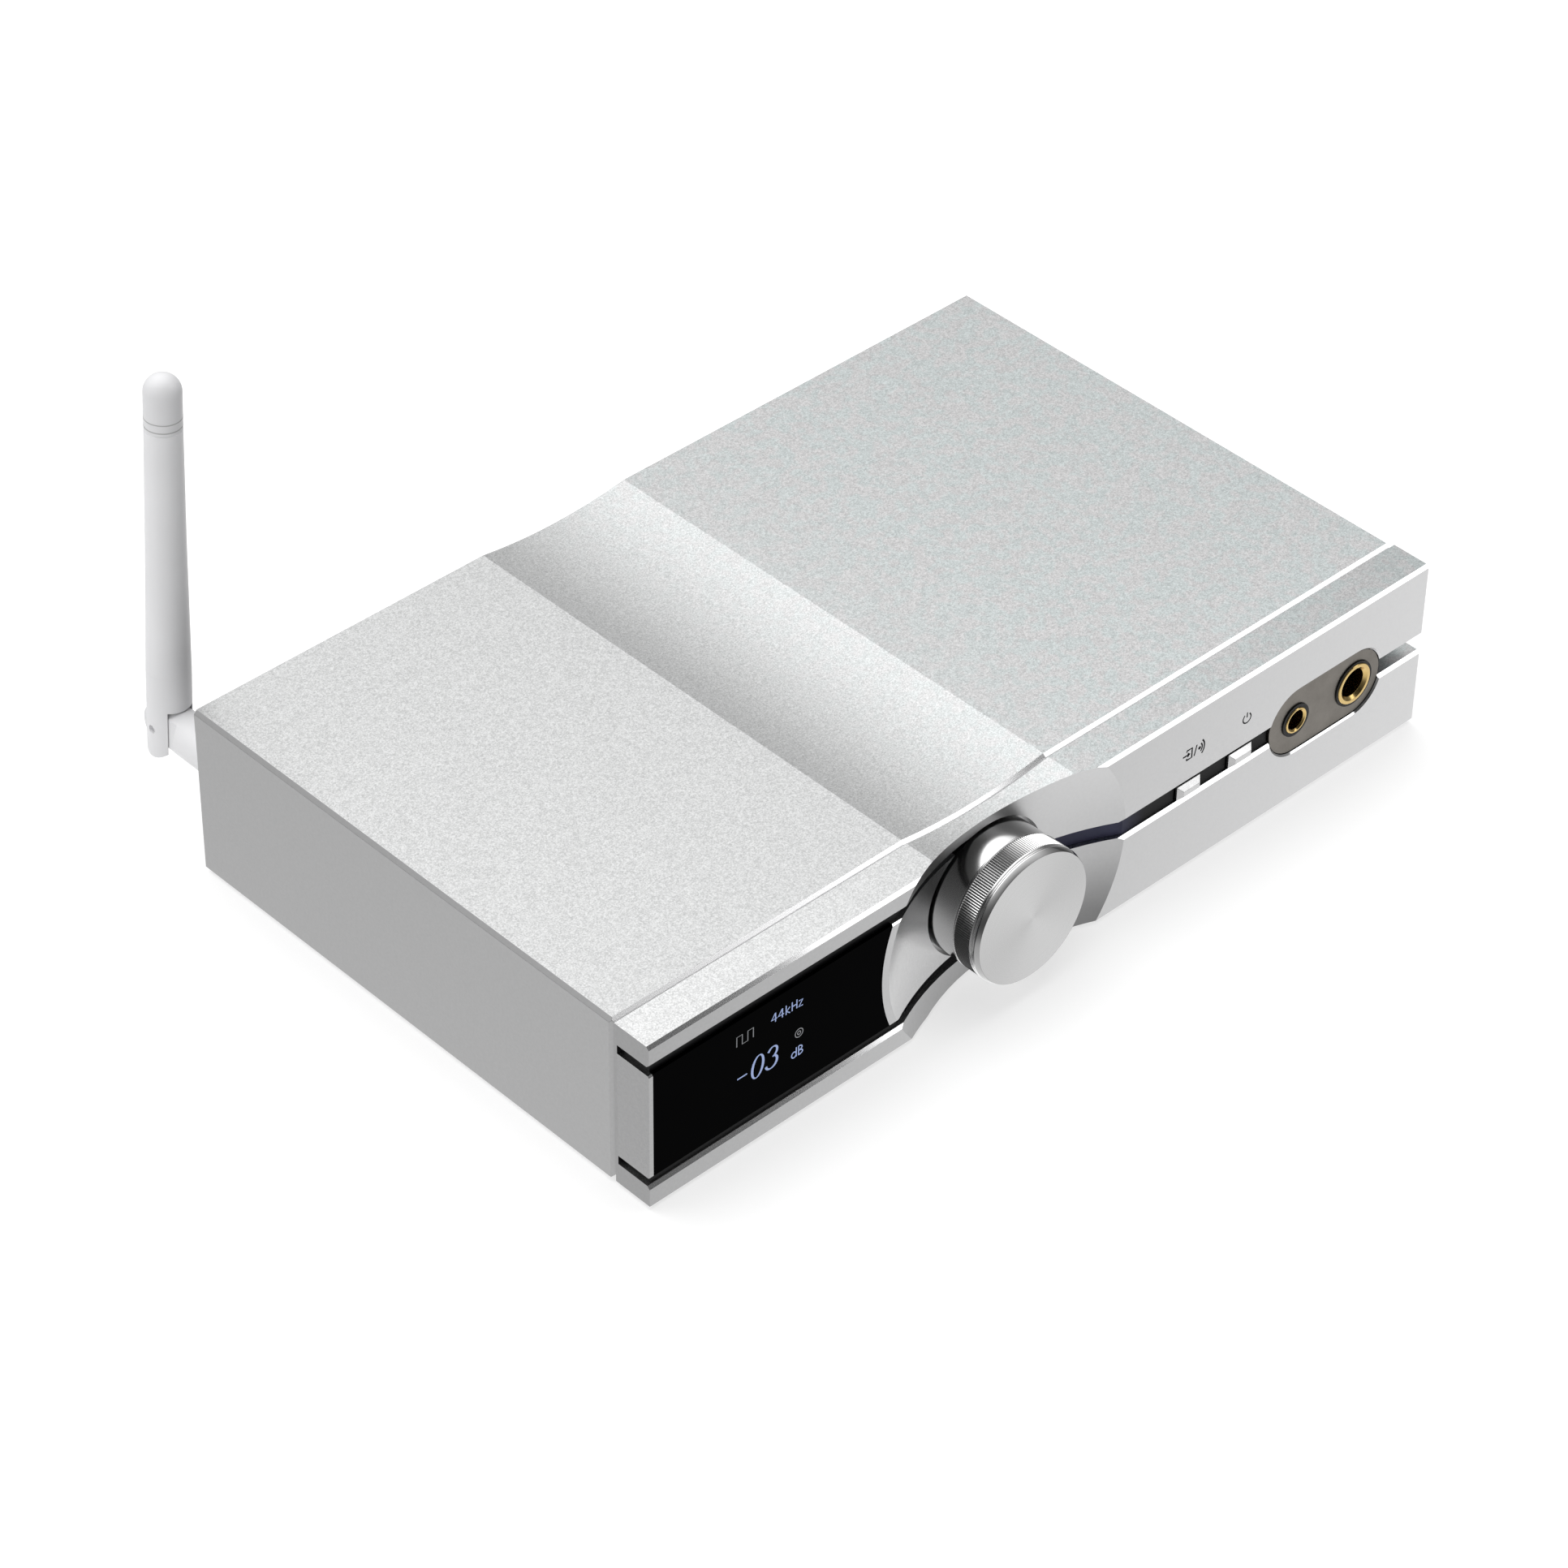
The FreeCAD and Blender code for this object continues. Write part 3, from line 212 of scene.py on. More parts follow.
def turned(name, colour, roughness, anisotropy, pitch, depth):
    """Lathe-turned metal: fine rings about the knob's axis."""
    m = Mat(name, colour, 1.0, roughness)
    m.shader.inputs["Anisotropic"].default_value = anisotropy
    x, _, z = m.axes()
    dx = m.math("SUBTRACT", x, AXIS.x)
    dz = m.math("SUBTRACT", z, AXIS.z)
    radius = m.math("SQRT", m.math("ADD", m.math("MULTIPLY", dx, dx), m.math("MULTIPLY", dz, dz)))
    rings = m.node("ShaderNodeCombineXYZ", X=radius).outputs[0]
    grain = m.noise(1 / pitch, 3, rings)
    m.link(m.mix(m.spread(grain, 0.3, 0.7), shade(colour, 0.97), shade(colour, 1.03)), "Base Color")
    m.link(m.spread(grain, 0.3, 0.7, roughness - 0.02, roughness + 0.03), "Roughness")
    m.bump(grain, depth, 0.00001)
    if anisotropy:
        tangent = m.tree.nodes.new("ShaderNodeTangent")
        tangent.direction_type = "RADIAL"
        tangent.axis = "Y"
        m.link(tangent.outputs[0], "Tangent")
    return m.mat


def moulded(name, colour, roughness, scale=1800, bump=0.05, amount=0.06, specular=0.5):
    """Plastic, rubber or paint: a fine grain, and a colour that wanders by a small amount."""
    m = Mat(name, colour, 0.0, roughness)
    m.shader.inputs["Specular IOR Level"].default_value = specular
    grain = m.noise(scale, 3)
    patches = m.spread(m.noise(60, 2), 0.3, 0.7)
    m.link(m.mix(patches, shade(colour, 1 - amount), shade(colour, 1 + amount)), "Base Color")
    m.link(m.spread(grain, 0.3, 0.7, roughness - 0.05, roughness + 0.05), "Roughness")
    m.bump(grain, bump, 0.00003, EDGE)
    return m.mat


def liner_plastic(name):
    """Charcoal strip with a blue cast in the curve of the dish."""
    charcoal, blue = (0.004, 0.004, 0.0045), (0.045, 0.046, 0.085)
    blue_x = AXIS.x + 25 * MM
    m = Mat(name, charcoal, 0.0, 0.45)
    m.shader.inputs["Specular IOR Level"].default_value = 0.12
    offset = m.math("ABSOLUTE", m.math("SUBTRACT", m.axes()[0], blue_x))
    grain = m.spread(m.noise(700, 3), 0.3, 0.7, 0.9, 1.1)
    cast = m.math("MULTIPLY", m.spread(offset, 6 * MM, 14 * MM, 1.0, 0.0), grain)
    m.link(m.mix(cast, charcoal, blue), "Base Color")
    m.bump(m.noise(1800, 3), 0.1, 0.00003)
    return m.mat


def glowing(name, colour):
    """Lit segments of the readout."""
    m = Mat(name, (0.0, 0.0, 0.0), 0.0, 0.4)
    flicker = m.spread(m.noise(4000, 1), 0.3, 0.7)
    m.link(m.mix(flicker, shade(colour, 0.85), colour), "Emission Color")
    m.shader.inputs["Emission Strength"].default_value = 1.0
    return m.mat


def black_glass(name):
    """Tinted window, coated against reflections."""
    m = Mat(name, (0.0002, 0.0002, 0.0003), 0.0, 0.08)
    m.shader.inputs["Specular IOR Level"].default_value = 0.004
    m.link(m.mix(m.noise(500, 2), (0.0001, 0.0001, 0.0002), (0.0003, 0.0003, 0.0004)), "Base Color")
    m.bump(m.noise(40, 1), 0.02, 0.00002)
    return m.mat


def circuit(name):
    """Green solder mask with a faint pattern of tracks."""
    m = Mat(name, (0.01, 0.07, 0.035), 0.0, 0.35)
    wave = m.node("ShaderNodeTexWave", Vector=m.coords, Scale=240.0, Distortion=6.0, Detail=2.0)
    tracks = wave.outputs["Fac"]
    m.link(m.mix(m.spread(tracks, 0.45, 0.55), (0.008, 0.06, 0.03), (0.02, 0.11, 0.055)), "Base Color")
    m.bump(tracks, 0.1, 0.00003)
    return m.mat


# Tones from the case's left end to its right end are painted light: the front brightens and the bezel's top
# darkens towards the right, and the sleeve's sides are a little darker than its top as painted shade.
FRONT_PAINTED_LIGHT = ((0.345, 0.345, 0.347), (0.62, 0.62, 0.623))
SLEEVE_TOP_PAINTED_LIGHT = ((0.485, 0.488, 0.488), (0.46, 0.465, 0.465))
BEZEL_TOP_PAINTED_LIGHT = ((0.55, 0.553, 0.553), (0.38, 0.385, 0.385))
SIDE = (0.44, 0.44, 0.442)
MATERIALS = {
    "blasted_aluminium": blasted("blasted_aluminium", SLEEVE_TOP_PAINTED_LIGHT, (SIDE, SIDE), 0.34, 0.22, 0.24, EDGE),
    "satin_aluminium": blasted("satin_aluminium", BEZEL_TOP_PAINTED_LIGHT, FRONT_PAINTED_LIGHT, 0.24, 0.2, 0.08),
    "key_aluminium": satin("key_aluminium", (0.55, 0.55, 0.55), 0.26),
    "turned_aluminium": turned("turned_aluminium", (0.52, 0.52, 0.52), 0.28, 0.75, 0.12 * MM, 0.04),
    "steel": satin("steel", (0.56, 0.56, 0.57), 0.30),
    "tin": satin("tin", (0.66, 0.66, 0.66), 0.35),
    "gold": satin("gold", (0.60, 0.43, 0.17), 0.2),
    "brass": satin("brass", (0.72, 0.52, 0.24), 0.3),
    "bronze_plate": satin("bronze_plate", (0.20, 0.185, 0.165), 0.42),
    "black_plastic": moulded("black_plastic", (0.005, 0.005, 0.005), 0.45, specular=0.2),
    "liner_plastic": liner_plastic("liner_plastic"),
    "white_plastic": moulded("white_plastic", (0.70, 0.70, 0.71), 0.42, 900, 0.04, 0.02),
    "rubber": moulded("rubber", (0.02, 0.02, 0.02), 0.8, 2500, 0.3),
    "black_glass": black_glass("black_glass"),
    "oled": moulded("oled", (0.004, 0.004, 0.006), 0.15),
    "circuit_board": circuit("circuit_board"),
    "flex_film": moulded("flex_film", (0.42, 0.18, 0.04), 0.35),
    "ferrite": moulded("ferrite", (0.04, 0.04, 0.04), 0.6),
    "black_panel": moulded("black_panel", (0.012, 0.012, 0.013), 0.5, 2200, 0.35),
    "black_metal": moulded("black_metal", (0.012, 0.012, 0.013), 0.35, 2000, 0.15),
}
BEZEL = blasted("bezel_aluminium", BEZEL_TOP_PAINTED_LIGHT, FRONT_PAINTED_LIGHT, 0.32, 0.22, 0.08)
POLISHED = turned("polished_aluminium", (0.70, 0.70, 0.70), 0.19, 0.0, 0.4 * MM, 0.05)
# Darker copy of the polished metal for the knob's bevel: a painted dark reflection.
BEVEL_PAINTED_DARK = turned("bevel_aluminium_painted_dark", (0.36, 0.36, 0.36), 0.09, 0.0, 0.4 * MM, 0.03)
KNURLED = turned("knurled_aluminium", (0.80, 0.80, 0.80), 0.22, 0.0, 0.4 * MM, 0.05)
# Dark copy of the turned metal for the knurl's valleys: painted shade in the grooves.
KNURL_VALLEY_SHADE = turned("knurl_valleys_painted_shade", (0.22, 0.22, 0.22), 0.35, 0.0, 0.4 * MM, 0.05)
READOUT_BLUE = glowing("readout_blue", (0.27, 0.35, 0.60))
READOUT_GREY = glowing("readout_grey", (0.16, 0.165, 0.175))
# Darker copy of the white plastic for the aerial's cap: painted shade on its dome.
CAP_PAINTED_SHADE = moulded("cap_plastic_painted_shade", (0.64, 0.64, 0.65), 0.42, 900, 0.04, 0.02)
RING_GREY = moulded("ring_grey", (0.38, 0.38, 0.38), 0.6)
PRINT = moulded("grey_print", (0.006, 0.006, 0.008), 0.6, specular=0.1)
INSULATORS = {"phono_left": moulded("white_insulator", (0.75, 0.75, 0.73), 0.35),
              "phono_right": moulded("red_insulator", (0.45, 0.012, 0.012), 0.35),
              "coax_socket": moulded("black_insulator", (0.02, 0.02, 0.02), 0.35)}

# Pieces whose look differs a little from their slot's usual material; the aerial's cap is a darker copy of
# the white plastic, as painted shade.
ODD_ONES = {"front_bezel": BEZEL, "aerial_pin": MATERIALS["white_plastic"], "aerial_cap": CAP_PAINTED_SHADE}
for entry in frame["record"]["subparts"]:
    mesh = nodes[entry["node"]].data
    mesh.materials.clear()
    mesh.materials.append(ODD_ONES.get(entry["node"]) or MATERIALS[entry["material_slot"]])


# ---------------------------------------------------------------- mesh helpers


def add_piece(name, mesh, body, materials):
    for material in materials:
        mesh.materials.append(material)
    piece = bpy.data.objects.new(name, mesh)
    bpy.context.scene.collection.objects.link(piece)
    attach(piece, body)
    return piece


SHARP = math.radians(30)  # edges sharper than this keep a crease


def make_mesh(name, points, faces, material_indices=None):
    mesh = bpy.data.meshes.new(name)
    mesh.from_pydata(points, [], faces)
    if material_indices:
        mesh.polygons.foreach_set("material_index", material_indices)
    mesh.polygons.foreach_set("use_smooth", [True] * len(mesh.polygons))
    mesh.set_sharp_from_angle(angle=SHARP)
    mesh.update()
    return mesh


def turn_profile(name, profile, origin, count, offset=None, closed=True, paint=None):
    """Revolve (radius, y) points in mm about a line along Y, in count steps.

    offset(row, step) moves a point out, and paint(row, step) gives a face's material. A closed profile
    makes a ring, and an open one gets a flat face at both ends."""
    points, faces, indices = [], [], []
    rows = len(profile)
    for row, (radius, y) in enumerate(profile):
        for step in range(count):
            angle = math.tau * step / count
            reach = (radius + (offset(row, step) if offset else 0.0)) * MM
            points.append((origin[0] + reach * math.sin(angle), origin[1] + y * MM,
                           origin[2] + reach * math.cos(angle)))
    for row in range(rows if closed else rows - 1):
        here, after = row * count, (row + 1) % rows * count
        for step in range(count):
            beside = (step + 1) % count
            faces.append((here + step, after + step, after + beside, here + beside))
            indices.append(paint(row, step) if paint else 0)
    if not closed:
        faces.append(tuple(range(count)))
        faces.append(tuple((rows - 1) * count + step for step in reversed(range(count))))
        indices += [0, 0]
    return make_mesh(name, points, faces, indices)


def strips(name, paths, front_y, thickness):
    """Flat strokes facing the front; each path is a list of (x, z, width) in mm."""
    points, faces = [], []
    for path in paths:
        first = len(points)
        closed = path[0][:2] == path[-1][:2]
        ring = path[:-1] if closed else path
        count = len(ring)
        for i, (x, z, width) in enumerate(ring):
            before = ring[i - 1] if closed or i > 0 else ring[i]
            after = ring[(i + 1) % count] if closed or i < count - 1 else ring[i]
            along = Vector((after[0] - before[0], after[1] - before[1])).normalized()
            side = Vector((-along.y, along.x)) * width / 2
            for y in (front_y, front_y + thickness * MM):
                points.append(((x + side.x) * MM, y, (z + side.y) * MM))
                points.append(((x - side.x) * MM, y, (z - side.y) * MM))
        for i in range(count if closed else count - 1):
            a, b = first + 4 * i, first + 4 * ((i + 1) % count)
            faces += [(a, a + 1, b + 1, b), (a + 3, a + 2, b + 2, b + 3),
                      (a + 2, a, b, b + 2), (a + 1, a + 3, b + 3, b + 1)]
        if not closed:
            last = first + 4 * (count - 1)
            faces += [(first, first + 2, first + 3, first + 1), (last, last + 1, last + 3, last + 2)]
    return make_mesh(name, points, faces)


def arc(cx, cz, rx, rz, start, end, width, steps, slant=0.0, swell=0.0):
    """Elliptical arc in degrees; slant leans it and swell thickens its upright parts."""
    path = []
    for i in range(steps + 1):
        angle = math.radians(start + (end - start) * i / steps)
        z = rz * math.sin(angle)
        weight = 1 - swell + swell * abs(math.cos(angle))
        path.append((cx + rx * math.cos(angle) + slant * z, cz + z, width * weight))
    if abs(end - start) == 360:
        path[-1] = path[0]
    return path


def line(x0, z0, x1, z1, width):
    return [(x0, z0, width), (x1, z1, width)]


# ---------------------------------------------------------------- knob

KNURL_TEETH = 180
TOOTH = (0.0, -0.12, -0.24, -0.12)  # depth of one ridge and valley, step by step
KNOB_MATERIALS = [POLISHED, KNURLED, KNURL_VALLEY_SHADE, BEVEL_PAINTED_DARK]
POLISH, KNURL, VALLEY_SHADE, DARK_BEVEL = range(len(KNOB_MATERIALS))


def add_knob():
    """Turned knob: polished collar, rounded lip, straight knurl with painted shade in its valleys, two rings,
    polished bevel darkened as a painted dark reflection, face seat.
    """
    rear = (high("volume_knob").y - FRONT_Y) / MM
    front = (low("volume_knob").y - FRONT_Y) / MM
    seat = (high("knob_face").x - low("knob_face").x) / 2 / MM
    outer = (high("volume_knob").x - low("volume_knob").x) / 2 / MM
    collar = outer - 0.15
    skirt = [(8.0, rear, POLISH), (collar - 0.4, rear, POLISH), (collar, rear - 0.4, POLISH),
             (collar, 0.75, POLISH), (outer - 0.02, 0.62, POLISH), (outer, 0.5, POLISH),
             (outer, 0.38, POLISH), (outer - 0.3, 0.3, POLISH), (outer - 0.3, 0.16, POLISH),
             (outer - 0.02, 0.1, KNURL)]
    knurl = [(outer, 0.02, KNURL), (outer, -4.0, KNURL), (outer, -4.1, KNURL)]
    rings = [(outer - 0.02, -4.2, POLISH), (outer, -4.3, POLISH), (outer, -4.42, POLISH),
             (outer - 0.3, -4.5, POLISH), (outer - 0.3, -4.66, POLISH), (outer, -4.74, POLISH),
             (outer, -4.92, POLISH), (outer - 0.16, -4.98, POLISH), (outer - 0.16, -5.1, POLISH)]
    # The bevel's facets take the darkened metal: a painted dark reflection.
    bevel = [(outer, -5.16, POLISH), (outer, -5.3, DARK_BEVEL), (outer - 0.04, -5.45, DARK_BEVEL),
             (outer - 0.16, -5.95, DARK_BEVEL), (seat + 0.03, front, POLISH)]
    bore = [(seat, front + 0.05, POLISH), (seat, front + 1.0, POLISH), (3.0, front + 1.0, POLISH),
            (3.0, front + 4.5, POLISH), (3.0, 4.9, POLISH), (8.0, 4.9, POLISH)]
    body = skirt + knurl + rings + bevel + bore
    ridged = range(len(skirt), len(skirt) + len(knurl) - 1)

    def tooth(row, step):
        return TOOTH[step % len(TOOTH)] if row in ridged else 0.0

    def paint(row, step):
        # Faces in the knurl's valleys take the dark metal, as painted shade in the grooves.
        valley_shaded = row in ridged[:-1] and step % len(TOOTH) in (1, 2)
        return VALLEY_SHADE if valley_shaded else body[row][2]

    profile = [(radius, y) for radius, y, _ in body]
    mesh = turn_profile("knurled_knob", profile, AXIS, KNURL_TEETH * len(TOOTH), tooth, paint=paint)
    knob = add_piece("knurled_knob", mesh, "volume_control", KNOB_MATERIALS)
    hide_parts("volume_knob")


# ---------------------------------------------------------------- readout and print


SLANT = 0.16  # lean of the large figures
THIN = 0.26  # stroke width of the small letters
FINE = 0.2  # stroke width of the grey rings
LIT_PROUD, LIT_THICK = 0.03, 0.03  # how far the strokes stand off the window, and their thickness


def on_display(x, z):
    """A place given in mm from the case's left end and underside, in the frame's mm."""
    return CASE_LEFT / MM + x, CASE_UNDER / MM + z


def level_strokes():
    """The level's minus sign, nought and three."""
    x, z = on_display(22.2, 18.1)
    minus = line(x, z, x + 2.5, z, 0.3)
    x, z = on_display(27.4, 18.25)
    nought = arc(x, z, 1.35, 2.65, 0, 360, 0.62, 40, SLANT, 0.68)
    x, z = on_display(31.0, 18.25)
    upper = arc(x + 0.2, z + 1.35, 1.15, 1.25, 165, -80, 0.56, 24, SLANT, 0.6)
    lower = arc(x - 0.05, z - 1.15, 1.4, 1.45, 80, -165, 0.62, 24, SLANT, 0.6)
    return [nought, upper, lower, minus]


def rate_strokes():
    """44kHz."""
    x, z = on_display(30.8, 26.8)
    tall = 2.2
    strokes = []
    for left in (x, x + 1.75):
        strokes += [[(left + 1.0, z + tall, THIN), (left, z + 0.75, THIN), (left + 1.45, z + 0.75, THIN)],
                    line(left + 1.05, z, left + 1.05, z + tall, THIN)]
    x += 3.75
    k = [line(x, z, x, z + 2.3, THIN),
         [(x + 0.95, z + 1.5, THIN), (x + 0.1, z + 0.75, THIN), (x + 1.0, z, THIN)]]
    h = [line(x + 1.55, z, x + 1.55, z + tall, THIN), line(x + 2.75, z, x + 2.75, z + tall, THIN),
         line(x + 1.55, z + 1.1, x + 2.75, z + 1.1, THIN)]
    small_z = [(x + 3.25, z + 1.5, THIN), (x + 4.25, z + 1.5, THIN), (x + 3.25, z, THIN),
               (x + 4.3, z, THIN)]
    return strokes + k + h + [small_z]


def unit_strokes():
    """dB."""
    x, z = on_display(36.1, 14.6)
    stem, spine = x + 1.25, x + 1.85
    d = [line(stem, z, stem, z + 2.3, THIN), arc(x + 0.65, z + 0.7, 0.6, 0.7, 0, 360, THIN, 20)]
    b = [line(spine, z, spine, z + 2.25, THIN), arc(spine, z + 1.68, 0.9, 0.57, 90, -90, THIN, 14),
         arc(spine, z + 0.57, 1.05, 0.57, 90, -90, THIN, 14)]
    return d + b


def state_strokes():
    """A plain square wave and two plain rings, which stand for the source's format and state."""
    x, z = on_display(22.0, 26.4)
    corners = ((0.0, 0.0), (0.0, 2.4), (1.4, 2.4), (1.4, 0.0), (2.8, 0.0), (2.8, 2.4), (4.2, 2.4), (4.2, 0.0))
    wave = [(x + across, z + up, 0.22) for across, up in corners]
    x, z = on_display(38.0, 20.2)
    return [wave, arc(x, z, 1.0, 1.0, 0, 360, FINE, 28), arc(x, z, 0.4, 0.4, 0, 360, FINE, 16)]


def add_readout():
    """Lit level, sample rate, unit and state, just in front of the window."""
    for name, strokes, glow in (("readout_level", level_strokes(), READOUT_BLUE),
                                ("readout_rate", rate_strokes(), READOUT_BLUE),
                                ("readout_unit", unit_strokes(), READOUT_BLUE),
                                ("readout_state", state_strokes(), READOUT_GREY)):
        mesh = strips(name, strokes, GLASS_Y - LIT_PROUD * MM, LIT_THICK)
        add_piece(name, mesh, "chassis", [glow])


PRINT_PROUD, PRINT_THICK = 0.012, 0.02
MARKS_UP = 9.2  # height of the printed marks over the knob's axis


def source_strokes():
    """An arrow into a bracket, a slash, and a dot with two radio arcs."""
    x, z = centre("input_button").x / MM, AXIS.z / MM + MARKS_UP
    bold, medium = 0.44, 0.38
    bracket = [(x - 1.6, z + 0.8, bold), (x - 1.6, z + 1.2, bold), (x - 0.1, z + 1.2, bold),
               (x - 0.1, z - 1.2, bold), (x - 1.6, z - 1.2, bold), (x - 1.6, z - 0.8, bold)]
    shaft = line(x - 2.7, z, x - 0.85, z, medium)
    head = [(x - 1.35, z + 0.45, medium), (x - 0.75, z, medium), (x - 1.35, z - 0.45, medium)]
    slash = line(x + 0.6, z - 1.25, x + 1.25, z + 1.25, 0.34)
    dot = arc(x + 2.1, z, 0.2, 0.2, 0, 360, 0.4, 12)
    waves = [arc(x + 1.9, z, reach, reach * 1.3, -55, 55, medium, 12) for reach in (0.95, 1.6)]
    return [bracket, shaft, head, slash, dot, *waves]


def power_strokes():
    """A ring open at its top, with a bar in the gap."""
    x, z = centre("power_button").x / MM + 0.9, AXIS.z / MM + MARKS_UP
    width = 0.32
    return [arc(x, z, 1.15, 1.15, 125, 415, width, 32), line(x, z + 0.2, x, z + 1.45, width)]


def add_print():
    """Printed symbols over the keys."""
    for name, strokes in (("source_symbols", source_strokes()), ("power_symbol", power_strokes())):
        mesh = strips(name, strokes, FRONT_Y - PRINT_PROUD * MM, PRINT_THICK)
        add_piece(name, mesh, "chassis", [PRINT])


# ---------------------------------------------------------------- sockets


LINING_BORES = {"small_jack_lining": 2.25, "large_jack_lining": 3.25}  # radii


def add_linings():
    """Gold sleeves with a conical lead-in; they stand for the plain CAD sleeves."""
    for name, bore in LINING_BORES.items():
        bottom, top = low(name), high(name)
        outer = (top.x - bottom.x) / 2 / MM
        deep = (top.y - bottom.y) / MM
        lead = (outer - bore) * 0.45
        profile = [(outer, deep), (outer, 0.12), (outer - 0.12, 0.0), (bore + lead, 0.0),
                   (bore + 0.06, lead * 0.9), (bore, lead), (bore, deep)]
        piece_name = name.replace("lining", "gold_sleeve")
        mesh = turn_profile(piece_name, profile, (centre(name).x, bottom.y, centre(name).z), 96)
        piece = add_piece(piece_name, mesh, "chassis", [MATERIALS["gold"]])
        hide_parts(name)


def add_phono_fronts():
    """Coloured insulator and gold centre contact in each phono barrel's end."""
    insulator = [(3.45, 0.0), (3.45, 0.06), (3.3, 0.12), (1.95, 0.12), (1.78, 0.05), (1.78, 0.0)]
    contact = [(1.68, 0.0), (1.68, -6.5), (1.3, -6.5), (1.3, -0.1), (1.45, 0.04), (1.6, 0.04)]
    for name, material in INSULATORS.items():
        end = (centre(name).x, high(name).y, AXIS.z)
        mesh = turn_profile(name + "_insulator", insulator, end, 64)
        add_piece(mesh.name, mesh, "chassis", [material])
        mesh = turn_profile(name + "_contact", contact, end, 48)
        add_piece(mesh.name, mesh, "chassis", [MATERIALS["gold"]])


def rod(name, origin, radius, start, end):
    """Round pin along Y with a domed end at its larger y."""
    dome = 0.3 * radius
    profile = [(radius, start), (radius, end - dome), (radius * 0.85, end - dome * 0.4), (radius * 0.5, end)]
    return turn_profile(name, profile, origin, 32, closed=False)


def slab(name, low_corner, high_corner, bevel):
    """Block with its long edges and its rear face bevelled, all in mm."""
    (x0, y0, z0), (x1, y1, z1) = low_corner, high_corner
    outline = [(x0 + bevel, z0), (x1 - bevel, z0), (x1, z0 + bevel), (x1, z1 - bevel),
               (x1 - bevel, z1), (x0 + bevel, z1), (x0, z1 - bevel), (x0, z0 + bevel)]
    count = len(outline)
    middle_x, middle_z = (x0 + x1) / 2, (z0 + z1) / 2
    points = []
    for y, inset in ((y0, 0.0), (y1 - bevel, 0.0), (y1, bevel)):
        for x, z in outline:
            inward_x = math.copysign(inset, middle_x - x)
            inward_z = math.copysign(inset, middle_z - z)
            points.append(((x + inward_x) * MM, y * MM, (z + inward_z) * MM))
    faces = [tuple(range(count)), tuple(2 * count + i for i in reversed(range(count)))]
    for here in (0, count):
        for i in range(count):
            j = (i + 1) % count
            faces.append((here + i, here + count + i, here + count + j, here + j))
    return make_mesh(name, points, faces)


def add_aerial_rings():
    """Two fine rings at the foot of the aerial's cap, square to its leaning rod."""
    foot = centre("aerial_pin")
    along = (centre("aerial_element") - foot).normalized()
    turn = Vector((0, 1, 0)).rotation_difference(along).to_matrix().to_4x4()
    outer = (high("aerial_cap").y - low("aerial_cap").y) / 2 / MM + 0.02
    inner = outer - 0.32
    ring = [(inner, 0.0), (outer, 0.0), (outer, 0.24), (inner, 0.24)]
    for i, up in enumerate((0.15, 1.95)):
        start = foot + along * ((low("aerial_cap").z - foot.z) / along.z + up * MM)
        mesh = turn_profile(f"aerial_ring_{i}", ring, (0, 0, 0), 96)
        mesh.transform(Matrix.Translation(start) @ turn)
        add_piece(mesh.name, mesh, "aerial_arm", [RING_GREY])


BALANCED_PINS = ((-3.8, 1.6), (3.8, 1.6), (0.0, -3.6))
BALANCED_SCREWS = ((-9.5, 12.0), (9.5, -12.0))


def add_balanced_details():
    """Insert with three gold pins in each balanced output, and the two screws of its flange."""
    insert = [(9.7, -13.9), (9.7, -12.6), (9.4, -12.2), (0.6, -12.2), (0.6, -13.9)]
    for name in ("balanced_left", "balanced_right"):
        middle = Vector((centre(name).x, PANEL_Y, AXIS.z))
        mesh = turn_profile(name + "_insert", insert, middle, 96)
        add_piece(mesh.name, mesh, "chassis", [MATERIALS["black_plastic"]])
        for i, (x, z) in enumerate(BALANCED_PINS):
            mesh = rod(f"{name}_pin_{i}", middle + Vector((x, 0, z)) * MM, 1.2, -12.2, -2.0)
            add_piece(mesh.name, mesh, "chassis", [MATERIALS["gold"]])
        for i, (x, z) in enumerate(BALANCED_SCREWS):
            mesh = rod(f"{name}_screw_{i}", middle + Vector((x, 0, z)) * MM, 1.6, 1.6, 2.3)
            add_piece(mesh.name, mesh, "chassis", [MATERIALS["black_metal"]])


def add_digital_details():
    """USB tongue, optical shutter and the power inlet's pin."""
    z, panel = AXIS.z / MM, PANEL_Y / MM
    x = centre("usb_socket").x / MM
    mesh = slab("usb_tongue", (x - 2.8, panel - 9.4, z - 1.6), (x + 2.8, panel - 0.8, z + 1.6), 0.4)
    add_piece(mesh.name, mesh, "chassis", [MATERIALS["white_plastic"]])
    x = centre("optical_socket").x / MM
    mesh = slab("optical_shutter", (x - 3.0, panel - 1.8, z - 3.0), (x + 3.0, panel - 0.7, z + 3.0), 0.8)
    add_piece(mesh.name, mesh, "chassis", [MATERIALS["ferrite"]])
    mesh = rod("power_pin", (centre("power_inlet").x, PANEL_Y, AXIS.z), 1.0, -9.2, -0.8)
    add_piece(mesh.name, mesh, "chassis", [MATERIALS["tin"]])


add_knob()
add_readout()
add_print()
add_linings()
add_phono_fronts()
add_aerial_rings()
add_balanced_details()
add_digital_details()


# ---------------------------------------------------------------- camera, light, floor

SENSOR, LENS = 36, 117.882  # width and focal length in mm
EYE = Vector((-564.74, -585.25, 670.66)) * MM
FORWARD = Vector((0.534006, 0.555221, -0.637626)).normalized()
RIGHT = Vector((0.727059, -0.686484, 0.01114)).normalized()


